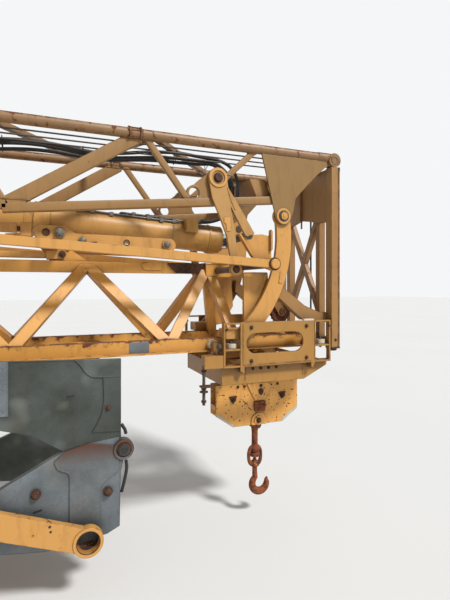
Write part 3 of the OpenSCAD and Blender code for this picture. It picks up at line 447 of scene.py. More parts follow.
# Wide flat plates in painted shade: the yellow darkened to a deep, even ochre.
GUSSET_PAINT = Enamel(
    "enamel_sprayed_yellow_shaded", Slot.YELLOW, colour="#8E6B35", faded="#84653A", rust_edge=0.17,
    corner_shade_share=0.6,
)
# Most of the coat is gone: brown rust with islands of ochre.
PEELED = Enamel(
    "enamel_brushed_yellow_flaked_off", Slot.YELLOW, colour="#93703F", faded="#7C5F3A", rust_edge=0.3,
    rust_all=0.22, corner=16.0, corner_shade_share=0.7,
)
# Yellow darkened as painted shade, and rust that has crept inwards from the edges of the posts.
POST_PAINT = Enamel(
    "enamel_brushed_yellow_peeled", Slot.YELLOW, colour="#A87C43", faded="#936C3E", rust_top=0.2,
    rust_edge=0.26, rust_all=0.035, corner=10.0, corner_shade_share=0.75,
)
# Grey-brown tubes with rust wherever they look up.
TOP_CHORD = Enamel(
    "enamel_sprayed_yellow_weathered", Slot.YELLOW, colour="#9C764A", faded="#7D5F42", rust_top=0.2,
    rust_all=0.12, corner=12.0,
)
# The smoothest and glossiest yellow, kept oily by the seals.
CYLINDER = Enamel("enamel_sprayed_yellow_glossy", Slot.YELLOW, colour="#C99549", faded="#BB8A48", gloss=0.42)
# A warmer, fresher orange with a rusty line along the top of the lower chord.
JIB = Enamel(
    "enamel_sprayed_orange", Slot.ORANGE, colour="#E0A148", faded="#D09648", rust_top=0.1, rust_edge=0.17,
    line_z=1.325,
)
# Orange darkened to brown as painted shade, and darkest in the corners, where more painted shade is laid.
TROLLEY = Enamel(
    "enamel_brushed_orange", Slot.ORANGE, colour="#AE7D39", faded="#9C7134", rust_top=0.2, rust_edge=0.21,
    corner_shade_share=0.9,
)
# The brightest orange, peppered with round spots of rust.
BLOCK = Enamel(
    "enamel_brushed_block", Slot.ORANGE, colour="#E6A952", faded="#D4974A", rust_edge=0.22, rust_all=0.01,
    spots=21.0,
)
# Smooth dark sheet with fine crystals and wide pale stains.
SHEET = Galvanised(
    "steel_cold_rolled_galvanised", Slot.GALVANISED, dark="#363931", light="#545956", crystal_mm=5.0,
    clouds=0.6, brown=0.3, sheen=0.45,
)
# The dull cool grey of thick plate out of the zinc bath.
ZINC = Galvanised("steel_hot_dip_galvanised", Slot.GALVANISED, dark="#5A6064", light="#7D8488")
# The same grey with brown water marks that run down from the boss.
STAINED_ZINC = Galvanised(
    "steel_hot_dip_galvanised_stained", Slot.GALVANISED, dark="#54585A", light="#787D7E", line_z=0.83
)
# Orange-brown bloom over dark scale, without any gloss.
HOOK_STEEL = RustedSteel("steel_forged_rusted", Slot.RUSTY)
# The dark brown skin of plate and bolts that carry no paint.
PLATE_RUST = RustedSteel("steel_rolled_rusted", Slot.RUSTY, dark="#26160F", bright="#63402A")
# Brown castings with crumbs of paint left on them.
SHEAVE_STEEL = RustedSteel("iron_cast_rusted", Slot.RUSTY, bright="#7D4626", paint_left=0.06)
# Dark grease with the shine of steel under it.
PIN_STEEL = TurnedSteel("steel_turned_greased", Slot.DARK)
# Grey bolts, half bright and half brown.
BOLT_ZINC = TurnedSteel("steel_rolled_zinc_plated", Slot.DARK, colour="#7E7B72", metallic=0.7, rust=0.4)
# Pale streaks where the orange has been rubbed off.
WORN_PAINT = Speckled("primer_brushed_pale", Slot.ORANGE, "#C8C6BA", "#AFAD9F", 9.0, "#7A6A50", 0.6, 0.6, 0.1)
# A clean, bright mirror.
CHROME = TurnedSteel(
    "steel_ground_chromed", Slot.CHROME, colour="#C9CBCB", metallic=1.0, rust=0.0, roughness=0.12
)
# Dark wire with a dull gleam.
WIRE = TurnedSteel(
    "steel_drawn_wire_rope", Slot.ROPE, colour="#4C4842", metallic=0.6, rust=0.3, roughness=0.5
)
# Soft black under grey dust.
RUBBER = Speckled(
    "rubber_extruded_black", Slot.RUBBER, "#1E1E1F", "#262627", 3.0, "#4A4640", 0.25, 0.55, 0.15
)
# Waxy off-white with dirty patches.
NYLON = Speckled("nylon_cast_white", Slot.NYLON, "#D9D2BC", "#CBC3AC", 12.0, "#857A62", 0.5, 0.42, 0.1)
# An even light grey with a fine grain.
POWDER = Speckled("powder_coat_light_grey", Slot.CABINET, "#C9CBC7", "#C2C4C0", 2.0, "#8F8B7F", 0.3, 0.5, 0.1)
# Pale rough grey with darker, damp patches.
CONCRETE = Speckled("concrete_cast_grey", Slot.CONCRETE)
FINISH_OF_SLOT = {
    Slot.YELLOW: YELLOW,
    Slot.ORANGE: JIB,
    Slot.GALVANISED: ZINC,
    Slot.DARK: PIN_STEEL,
    Slot.RUSTY: SHEAVE_STEEL,
    Slot.ROPE: WIRE,
    Slot.CHROME: CHROME,
    Slot.RUBBER: RUBBER,
    Slot.NYLON: NYLON,
    Slot.CABINET: POWDER,
    Slot.CONCRETE: CONCRETE,
}


def crane(b: float, y: float, z: float) -> Vector:
    """A point b mm behind the head of the mast, y mm to the far side and z mm up, in metres."""
    return Vector(((HEAD - b) / 1000, y / 1000, z / 1000))


def trace(points: Iterable[Spot], y: float) -> list[Vector]:
    """Points of the side view, y mm to the far side, in metres."""
    return [crane(b, y, z) for b, z in points]


def on(s: int, spot: Spot, y: float) -> tuple[Vector, Vector]:
    """Where a fitting sits on a face that looks sideways.

    Args:
        s: Side of the crane, -1 or 1.
        spot: Distance behind the head and height.
        y: Distance of the face from the middle of the crane.

    Returns:
        The spot in metres and the outward direction.
    """
    return crane(spot[0], s * y, spot[1]), Y * s


def around(count: int, r: float, turn: float = 0.0) -> list[Spot]:
    """Offsets to equally spaced points on a circle.

    Args:
        count: Number of points.
        r: Radius.
        turn: Share of a step by which the first point is turned.

    Returns:
        Both offsets of each point.
    """
    angles = (math.tau * (k + turn) / count for k in range(count))
    return [(r * math.cos(a), r * math.sin(a)) for a in angles]


def circle(
    b: float, z: float, r: float, start: float = 0.0, end: float = 360.0, steps: int = 40
) -> list[Spot]:
    """Points of an arc in the side view.

    Args:
        b: Distance of its centre behind the head.
        z: Height of its centre.
        r: Radius.
        start: First angle in degrees, from the rear and towards the top.
        end: Last angle; a full turn leaves out the point that returns to the start.
        steps: Number of steps.

    Returns:
        Distances behind the head and heights.
    """
    count = steps if end - start >= 360 else steps + 1
    angles = (math.radians(start + (end - start) * i / steps) for i in range(count))
    return [(b + r * math.cos(a), z + r * math.sin(a)) for a in angles]


def rounded(outline: Sequence[Spot], r: float, steps: int = 5) -> list[Spot]:
    """The outline with its corners cut back by r and rounded.

    Args:
        outline: Corners.
        r: How far along each side the rounding starts.
        steps: Points of each rounding.

    Returns:
        The points of the rounded outline.
    """
    points = []
    count = len(outline)
    for i, here in enumerate(outline):
        corner = Vector(here)
        before, after = Vector(outline[i - 1]) - corner, Vector(outline[(i + 1) % count]) - corner
        cut = min(r, before.length * 0.45, after.length * 0.45)
        p, q = corner + before.normalized() * cut, corner + after.normalized() * cut
        for k in range(steps + 1):
            t = k / steps
            spot = p * (1 - t) ** 2 + corner * 2 * t * (1 - t) + q * t**2
            points.append((spot.x, spot.y))
    return points


def smooth(points: Sequence[Vector], steps: int = 6) -> list[Vector]:
    """A curve through points, given by its tangents at them.

    Args:
        points: Points to pass through.
        steps: Steps between two of them.

    Returns:
        Points of the curve.
    """
    out = []
    last = len(points) - 1
    for i in range(last):
        p0, p1, p2, p3 = points[max(i - 1, 0)], points[i], points[i + 1], points[min(i + 2, last)]
        for k in range(steps):
            t = k / steps
            square = (2 * p0 - 5 * p1 + 4 * p2 - p3) * t**2
            cube = (3 * p1 - p0 - 3 * p2 + p3) * t**3
            out.append(0.5 * (2 * p1 + (p2 - p0) * t + square + cube))
    out.append(points[-1])
    return out


class Shape:
    """One mesh, put together from solids whose sizes are given in millimetres."""

    def __init__(self) -> None:
        """Starts empty."""
        self.mesh = bmesh.new()

    def loft(self, rings: Sequence[Sequence[Vector]], closed: bool = False) -> None:
        """Skins rings of equally many points.

        Args:
            rings: Rings of points in metres.
            closed: True to join the last ring to the first, or else the ends are capped.
        """
        made = [[self.mesh.verts.new(p) for p in ring] for ring in rings]
        pairs = list(zip(made, made[1:]))
        if closed:
            pairs.append((made[-1], made[0]))
        for low, high in pairs:
            for i in range(len(low)):
                j = (i + 1) % len(low)
                self.mesh.faces.new((low[i], low[j], high[j], high[i]))
        if not closed:
            self.mesh.faces.new(list(reversed(made[0])))
            self.mesh.faces.new(made[-1])

    def bar(
        self, p: Vector, q: Vector, w: float, h: float, across: Vector, r: float = 5.0, steps: int = 3
    ) -> None:
        """Hollow-section bar with rounded corners.

        Args:
            p: Start in metres.
            q: End in metres.
            w: Width along across.
            h: Width at right angles to across.
            across: Direction of the width.
            r: Corner radius.
            steps: Faces at each corner.
        """
        along = (q - p).normalized()
        u = (across - along * across.dot(along)).normalized()
        v = along.cross(u)
        ring = []
        for k, (sx, sy) in enumerate(((1, 1), (-1, 1), (-1, -1), (1, -1))):
            for i in range(steps + 1):
                a = math.pi / 2 * (k + i / steps)
                x = sx * (w / 2 - r) + r * math.cos(a)
                y = sy * (h / 2 - r) + r * math.sin(a)
                ring.append((u * x + v * y) / 1000)
        self.loft([[p + d for d in ring], [q + d for d in ring]])

    def plate(self, outline: Sequence[Spot], y0: float, y1: float) -> None:
        """Flat plate parallel to the side view.

        Args:
            outline: Corners as distance behind the head and height.
            y0: One face.
            y1: The other face.
        """
        self.loft([trace(outline, y) for y in sorted((y0, y1))])

    def lay(self, outline: Sequence[Spot], s: int, y: float, thick: float) -> None:
        """Plate that lies on a face which looks sideways.

        Args:
            outline: Corners as distance behind the head and height.
            s: Side of the crane, -1 or 1.
            y: Distance of that face from the middle of the crane.
            thick: The plate's thickness.
        """
        self.plate(outline, s * y, s * (y + thick))

    def box(self, b: Span, y: Span, z: Span) -> None:
        """Box between two distances behind the head, two sides and two heights."""
        self.plate([(b[0], z[0]), (b[1], z[0]), (b[1], z[1]), (b[0], z[1])], y[0], y[1])

    def turned(
        self, profile: Sequence[Spot], origin: Vector, axis: Vector, sides: int = 32, closed: bool = False
    ) -> None:
        """Body of revolution.

        Args:
            profile: Radius and place along the axis, in millimetres, from one end to the other.
            origin: Where the axis starts, in metres.
            axis: Direction of the axis.
            sides: Number of faces round the axis.
            closed: True where the profile returns to its start, as for a ring.
        """
        along = axis.normalized()
        u = along.orthogonal().normalized()
        v = along.cross(u)
        turns = around(sides, 1.0)
        rings = []
        for r, t in profile:
            centre = origin + along * t / 1000
            rings.append([centre + (u * x + v * y) * max(r, POINT_R) / 1000 for x, y in turns])
        self.loft(rings, closed)

    def ring(
        self, origin: Vector, axis: Vector, r: float, hole: float, h: float, sides: int = 40
    ) -> None:
        """Flat ring of height h with broken edges, r outside and hole inside."""
        profile = [(hole, 0), (r, 0), (r, h - 1), (r - 1, h), (hole + 1, h), (hole, h - 1)]
        self.turned(profile, origin, axis, sides, closed=True)

    def disc(
        self, origin: Vector, axis: Vector, r: float, h: float, edge: float = 1.5, sides: int = 32
    ) -> None:
        """Round boss or washer of height h with broken edges."""
        self.turned([(r, 0), (r, h - edge), (r - edge, h)], origin, axis, sides)

    def tube(
        self,
        points: Sequence[Vector],
        r: float,
        sides: int = 10,
        closed: bool = False,
        radii: Sequence[float] | None = None,
    ) -> None:
        """Round tube along a path.

        Args:
            points: Path in metres.
            r: Radius in millimetres.
            sides: Number of faces round it.
            closed: True where the path returns to its start.
            radii: Radius at each point, where it changes along the path.
        """
        count = len(points)
        turns = around(sides, 1.0)
        rings = []
        u = None
        for i, p in enumerate(points):
            before = points[i - 1] if closed or i else p
            after = points[(i + 1) % count] if closed or i < count - 1 else p
            along = (after - before).normalized()
            u = along.orthogonal().normalized() if u is None else (u - along * u.dot(along)).normalized()
            v = along.cross(u)
            size = (radii[i] if radii else r) / 1000
            rings.append([p + (u * x + v * y) * size for x, y in turns])
        self.loft(rings, closed)

    def bolt(self, origin: Vector, axis: Vector, d: float) -> None:
        """Washer, hexagon nut and the end of the thread, on a face.

        Args:
            origin: Middle of the washer's seat.
            axis: Outward direction.
            d: Thread diameter.
        """
        along = axis.normalized()
        self.disc(origin, along, 1.15 * d, 0.18 * d, 0.05 * d, 24)
        seat = origin + along * 0.18 * d / 1000
        nut = [(0.9 * d, 0), (0.92 * d, 0.1 * d), (0.92 * d, 0.66 * d), (0.8 * d, 0.78 * d)]
        self.turned(nut, seat, along, 6)
        self.turned([(0.5 * d, 0.7 * d), (0.5 * d, 1.05 * d), (0.42 * d, 1.15 * d)], seat, along, 16)

    def bead(self, ring: Sequence[Vector], r: float = 4.0, closed: bool = True) -> None:
        """Weld bead of uneven thickness along a path in metres, closed or not."""
        points = []
        count = len(ring)
        for i, p in enumerate(ring):
            if not closed and i == count - 1:
                points.append(p)
                break
            q = ring[(i + 1) % count]
            pieces = max(1, int((q - p).length * 1000 / BEAD_STEP))
            points += [p.lerp(q, k / pieces) for k in range(pieces)]
        shaken = [p + noise.noise_vector(p * BEAD_RIPPLE) * BEAD_UNEVEN for p in points]
        self.tube(shaken, r, 6, closed=closed)

    def seam(self, points: Iterable[Spot], y: float, r: float = 4.0) -> None:
        """Open weld bead along points of the side view, y mm to the far side."""
        self.bead(trace(points, y), r, closed=False)

    def piece(self, name: str, body: str, finish: Finish, crease: float = 38.0) -> bpy.types.Object:
        """Turns the mesh into a piece of the scene.

        Args:
            name: The piece's name.
            body: The body that it moves with.
            finish: Its finish.
            crease: Edges flatter than this many degrees are shaded smooth.

        Returns:
            The new object.
        """
        bmesh.ops.recalc_face_normals(self.mesh, faces=self.mesh.faces)
        data = bpy.data.meshes.new(name)
        self.mesh.to_mesh(data)
        self.mesh.free()
        data.shade_smooth()
        data.set_sharp_from_angle(angle=math.radians(crease))
        data.materials.append(finish.material())
        made = bpy.data.objects.new(name, data)
        bpy.context.scene.collection.objects.link(made)
        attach(made, body)
        LOG.info("%s on %s: %d faces", name, body, len(data.polygons))
        return made


def pieces(body: str, rows: Mapping[str, tuple[Shape, Finish]]) -> None:
    """Turns several meshes into pieces of one body, by name and in the order of the rows."""
    for name, (shape, finish) in rows.items():
        shape.piece(name, body, finish)


@dataclass
class Mast:
    """Lattice mast: round top chords, square bottom chords, flat diagonals and lacing."""

    top_y: float = 360.0
    top_z: float = 2530.0
    top_d: float = 60.0
    low_y: float = 340.0
    low_z: float = 2080.0
    low_d: float = 50.0
    brace_y: float = 349.4
    node_b: float = 2090.0
    bay: float = 1000.0
    bays: int = 4
    wide_run: float = 690.0
    wide: float = 78.0
    thin: float = 38.0
    thick: float = 30.0
    lace: float = 36.0
    low_end: float = 6240.0
    strut: tuple[Spot, Spot] = ((2107.0, 2060.0), (500.0, 2216.0))
    link_top: Spot = (918.0, 2318.0)
    eyelet: Spot = (1062.0, 2219.0)
    plate_y: Span = (335.3, 360.3)
    splice_b: float = 1455.0
    splice_gap: float = 62.0
    bolt_angles: tuple[int, ...] = (20, 100, 160, 240, 310)
    bolt_r: float = 33.0

    def strut_z(self, b: float) -> float:
        """Height of the square strut's centre line, b behind the head."""
        (b0, z0), (b1, z1) = self.strut
        return z0 + (z1 - z0) * (b0 - b) / (b0 - b1)

    def diagonal(self, shape: Shape, s: int, p: Spot, q: Spot, w: float) -> None:
        """One flat diagonal with a weld bead where it meets each chord.

        Args:
            shape: Mesh to add to.
            s: Side of the mast, -1 or 1.
            p: Lower end, as distance behind the head and height.
            q: Upper end.
            w: Its depth in the side view.
        """
        a, c = trace((p, q), s * self.brace_y)
        shape.bar(a, c, self.thick, w, Y, 6)
        along = (c - a).normalized()
        for z, level in ((p[1] + self.low_d / 2 + 3, a), (self.top_z - self.top_d / 2 + 3, c)):
            foot = level + along * ((z / 1000 - level.z) / along.z)
            reach = w / 2 / abs(along.z) / 1000
            t = self.thick / 2000
            corners = ((-1, -1), (1, -1), (1, 1), (-1, 1))
            shape.bead([foot + Vector((x * reach, y * t, 0)) for x, y in corners])

    def bracket(self, shape: Shape, s: int) -> None:
        """Plate on the square strut with the link's pin and an open eyelet.

        Args:
            shape: Mesh to add to.
            s: Side of the mast, -1 or 1.
        """
        b, z = self.link_top
        eb, ez = self.eyelet
        y0, y1 = sorted(s * y for y in self.plate_y)
        # The plate's rear edge follows the middle of the eyelet's rim, so the hole stays open.
        outline = [(b - 60, z - 10), (b + 52, z + 30), (eb - 32, ez + 83), (eb + 11, ez + 41)]
        outline += circle(eb, ez, 41, 75, 270, 20)
        outline += [(eb + 30, ez - 60), (eb + 30, self.strut_z(eb + 30)), (b - 78, self.strut_z(b - 78))]
        shape.plate(outline, y0, y1)
        shape.plate(circle(b, z, 62), y0 + 0.2, y1 - 0.2)
        shape.ring(crane(eb, y0 - 1.5, ez), Y, 48, 34, 28)
        shape.seam([(x, self.strut_z(x) + 26) for x in (1092, 1000, 900, 842)], s * 361)

    def top_chord(self, s: int, end: float) -> Shape:
        """Tube of one top chord, its flanged splices and the sleeve that carries the eye.

        Args:
            s: Side of the mast, -1 or 1.
            end: Distance of the rear end behind the head.

        Returns:
            The mesh.
        """
        chord = Shape()
        y, r = s * self.top_y, self.top_d / 2
        chord.turned([(r, 0), (r, end - CHORD_EYE[0])], crane(end, y, self.top_z), X, 24)
        flange = [(29, 0), (38, 1), (38, 9), (29, 10)]
        stud = [(4, 0), (7, 1), (7, 8), (3, 9), (3, 68), (7, 69), (7, 76), (4, 77)]
        for i in range(self.bays + 1):
            b = self.splice_b + i * self.bay
            for k in (0, self.splice_gap):
                chord.turned(flange, crane(b - k, y, self.top_z), X, 24)
            for a in map(math.radians, self.bolt_angles):
                across, up = self.bolt_r * math.cos(a), self.bolt_r * math.sin(a)
                chord.turned(stud, crane(b + 8, y + across, self.top_z + up), X, 6)
        # The end sleeve is a size larger than the chord.
        chord.turned([(r, 0), (32.8, 4), (32.8, 120)], crane(190, y, self.top_z), X, 24)
        eye = [(46.5, -33), (47, -32), (47, 32), (46.5, 33)]
        chord.turned(eye, crane(CHORD_EYE[0], y, CHORD_EYE[1]), Y, 40)
        return chord

    def side(self, s: int, name: str) -> None:
        """One side of the lattice.

        Args:
            s: Side of the mast, -1 or 1.
            name: The side's word in the node's name.
        """
        end = self.node_b + self.bays * self.bay
        top = self.top_chord(s, end).piece("mast_top_chord_" + name, "mast", TOP_CHORD)
        shape = Shape()
        for p, q in (((self.low_end, self.low_z), (self.node_b, self.low_z)), self.strut):
            shape.bar(*trace((p, q), s * self.low_y), self.low_d, self.low_d, Y, 6)
        self.diagonal(shape, s, (self.low_end - 40, self.low_z), (end, self.top_z - 12), self.wide)
        for i in range(self.bays + 1):
            b = self.node_b + i * self.bay
            self.diagonal(shape, s, (b, self.low_z), (b - self.wide_run, self.top_z - 12), self.wide)
            foot = b - self.bay
            low_z = self.strut_z(foot) if i == 0 else self.low_z
            head = (b - self.wide_run - 40, self.top_z - 8)
            self.diagonal(shape, s, (foot, low_z), head, self.thin)
        b, z = self.link_top
        self.diagonal(shape, s, (b - 50, z), (650, self.top_z - 8), self.thin)
        self.bracket(shape, s)
        body = shape.piece("mast_side_bars_" + name, "mast", MAST_PAINT)
        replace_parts(top, "mast_side_" + name)
        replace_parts(body, "mast_side_" + name)

    def lace_bars(
        self, shape: Shape, runs: Iterable[tuple[float, int, float, int]], y: float, z: float
    ) -> None:
        """Square lacing bars between the two sides.

        Args:
            shape: Mesh to add to.
            runs: Distance behind the head and side of each bar's start and of its end.
            y: Distance of the bars' ends from the middle.
            z: Height of the bars.
        """
        for b0, s0, b1, s1 in runs:
            shape.bar(crane(b0, s0 * y, z), crane(b1, s1 * y, z), self.lace, self.lace, Z, 4)

    def lacing(self) -> None:
        """Lacing between the chords, above and below."""
        top, low = Shape(), Shape()
        for i in range(self.bays + 1):
            b = self.node_b + 110 + i * self.bay
            runs = [(b, -1, b - 550, 1), (b - 550, 1, b - 900, -1)]
            if i == 0:
                runs.append((b - 900, -1, b - 1450, 1))
            self.lace_bars(top, runs, self.top_y - self.top_d / 2 + 6, self.top_z)
        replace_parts(top.piece("mast_lacing_top", "mast", TOP_CHORD), "mast_top_lacing")
        for i in range(1, self.bays + 1):
            b = self.node_b + i * self.bay
            m = 2640 if i == 1 else b - self.bay / 2
            runs = [(b, -1, b, 1), (b, -1, m, 1)]
            runs.append((m, 1, b - self.bay, -1) if i > 1 else (m, 1, m, -1))
            self.lace_bars(low, runs, self.low_y - 20, self.low_z)
        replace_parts(low.piece("mast_lacing_bottom", "mast", MAST_PAINT), "mast_bottom_lacing")

    def build(self) -> None:
        """The whole lattice."""
        self.side(-1, "near")
        self.side(1, "far")
        self.lacing()


@dataclass
class HeadFrame:
    """Fittings of the mast's head: chord ends, weld lines, feet of the posts and the clipped cable."""

    post_y: float = 360.0
    post_b: Span = (29.0, 95.0)
    web_b: float = 85.0
    cable_b: float = 30.0
    cable_y: float = -40.0
    ropes_at: tuple[Spot, ...] = ((-290.0, 2497.0), (-250.0, 2480.0), (-210.0, 2463.0))
    rope_ends: Span = (6150.0, 140.0)

    def welds(self) -> None:
        """Beads where the web plate and the cross tube meet their neighbours."""
        shape = Shape()
        web = self.web_b + 1
        for s in SIDES:
            shape.seam([(web, z) for z in (2102, 2200, 2300, 2400, 2460)], s * 326)
            shape.bead([crane(self.post_b[1] - 2, s * y, 1301) for y in (328, 360, 392)], closed=False)
            shape.bead([crane(350 + x, s * 284, 1569 + z) for x, z in around(16, 25)])
        for z in (2150, 2300, 2452):
            for y in (-6, 6):
                shape.seam([(web, z), (web, z - 60)], y, 3.5)
        shape.piece("head_welds", "mast", MAST_PAINT)

    def posts(self) -> None:
        """Closing plates, bolt and rubber stop at the foot of each post, and the rings round the chord eyes."""
        plates, stops, eyes, faces = Shape(), Shape(), Shape(), Shape()
        b0, b1 = self.post_b
        edge = [(b0, 1242), (b0 + 17, 1242), (b0 + 12, 1500), (b0 + 15, 1800), (b0 + 10, 2150)]
        edge += [(b0 + 15, 2438), (b0, 2438)]
        for s in SIDES:
            y0, y1 = sorted((s * 324, s * 396))
            plates.box((b0 - 2, b1 + 2), (y0, y1), (1231, 1240))
            plates.box((b0 - 1, b0 + 12), (y0, y1), (2440, 2466))
            stops.turned([(20, 0), (27, 3), (27, 12), (22, 16)], crane(62, s * self.post_y, 1215), Z, 24)
            # The face that looks ahead takes the rain and has lost its paint.
            faces.box((b0 - 1.2, b0 + 2), (y0 + 5, y1 - 5), (1242, 2438))
            faces.lay(edge, s, 392, 1.9)
            for y, turn in ((325.5, -s), (393, s)):
                eyes.ring(crane(CHORD_EYE[0], s * y, CHORD_EYE[1]), Y * turn, 30, 17, 3)
            plates.bolt(*on(s, (62, 1290), 393), 8)
        pieces("mast", {
            "head_post_plates": (plates, PLATE_RUST),
            "head_post_faces": (faces, PEELED),
            "head_post_stops": (stops, RUBBER),
            "head_eye_rings": (eyes, TOP_CHORD),
        })

    def cable(self) -> None:
        """Control cable clipped down the front of the head, straight between its two clips."""
        line, clips = Shape(), Shape()
        b, y = self.cable_b, self.cable_y
        path = [(60, 2478), (40, 2474), (b, 2455)] + [(b, z) for z in range(2400, 1320, -60)]
        path += [(b, 1312), (36, 1296), (50, 1288)]
        line.tube(trace(path, y), 7, 10)
        line.piece("head_cable", "mast", RUBBER)
        for z, back in ((2400, 73), (2190, 73), (1272, 34)):
            clips.box((b - 11, b + 11), (y - 11, y + 11), (z, z + 16))
            clips.box((b + 9, back), (y - 8, y + 8), (z + 4, z + 12))
        clips.piece("head_cable_clips", "mast", PLATE_RUST)

    def ropes(self) -> None:
        """Three erection ropes, taut from the mast's foot to sockets on the web plate."""
        lines, sockets = Shape(), Shape()
        rear, front = self.rope_ends
        for y, z in self.ropes_at:
            lines.tube(trace(((rear, z), (front, z)), y), 5, 8)
            sockets.turned([(8, 0), (13, 8), (13, 40), (9, 55)], crane(front, y, z), X, 16)
            sockets.turned([(8, 0), (13, 6), (13, 30), (9, 40)], crane(rear + 36, y, z), X, 16)
        sockets.box((6200, 6184), (-310, -190), (2448, 2530))
        pieces("mast", {"erection_rope_sockets": (sockets, PIN_STEEL), "erection_ropes": (lines, WIRE)})

    def build(self) -> None:
        """All fittings of the head."""
        self.welds()
        self.posts()
        self.cable()
        self.ropes()


@dataclass
class Linkage:
    """Collars, pin ends and welded-on strips of the folding linkage."""

    link_top: Spot = (918.0, 2318.0)
    link_low: Spot = (798.0, 1760.0)
    pivot: Spot = (458.0, 2111.0)
    tie_pin: Spot = (560.0, 1795.0)
    link_y: float = 385.3
    gusset_y: float = 377.3
    tie_y: float = 445.3
    arm_y: float = 360.3

    def pins(self) -> None:
        """Rings and pin ends on both sides of the crane."""
        rings, heads, rust = Shape(), Shape(), Shape()
        for s in SIDES:
            rings.ring(*on(s, self.link_top, self.link_y), 60, 42, 6)
            rust.ring(*on(s, self.link_top, self.link_y), 30, 25, 4)
            rust.disc(*on(s, self.link_top, 397.3), 23, 3, 2)
            rings.ring(*on(s, self.link_low, self.link_y), 38, 24, 5)
            rust.ring(*on(s, self.link_low, self.link_y), 23, 20.6, 4)
            rust.disc(*on(s, self.link_low, 393.3), 19, 3, 2)
            rings.ring(*on(s, self.pivot, self.gusset_y), 52, 36, 5)
            heads.disc(*on(s, self.pivot, 389.3), 27, 4, 2, 6)
            heads.disc(*on(s, self.pivot, 393.3), 11, 4, 1.5, 20)
            rust.ring(*on(s, self.tie_pin, self.tie_y), 41, 26, 5)
            heads.disc(*on(s, self.tie_pin, 451), 32, 11, 4, 32)
        pieces("mast", {
            "linkage_collars": (rings, YELLOW),
            "linkage_pin_heads": (heads, YELLOW),
            "linkage_pin_ends": (rust, PLATE_RUST),
        })

    def strips(self) -> None:
        """Stop strips tacked on the links, seams of the curved arms and feet of the slanting bars."""
        shape = Shape()
        stop = [(880, 2078), (838, 2082), (834, 1996), (862, 1993), (866, 2040), (880, 2042)]
        seams = (
            # Marks on the curved arm, then foot and joint of the slanting bar.
            (((473, 1748), (484, 1676), (462, 1673)), self.arm_y, 3),
            (((856, 2262), (838, 2200), (822, 2165), (806, 2128)), self.link_y + 1, 3.5),
            (((675, 1990), (700, 1979), (729, 1968)), 386, 4),
            # Rear and upper seam of the curved arm, and the upper edge of the gusset.
            (((712, 1372), (712, 1500), (712, 1620), (712, 1738)), 299, 4),
            (((708, 1742), (650, 1742), (600, 1742), (545, 1742)), 312.5, 4),
            (((612, 2501), (450, 2501), (300, 2501), (120, 2501)), self.gusset_y - 6, 4.5),
        )
        for s in SIDES:
            shape.lay(rounded(stop, 5, 2), s, self.link_y - 1, 5)
            for points, y, r in seams:
                shape.seam(points, s * y, r)
        shape.piece("linkage_strips", "mast", YELLOW)

    def build(self) -> None:
        """All fittings of the linkage."""
        self.pins()
        self.strips()


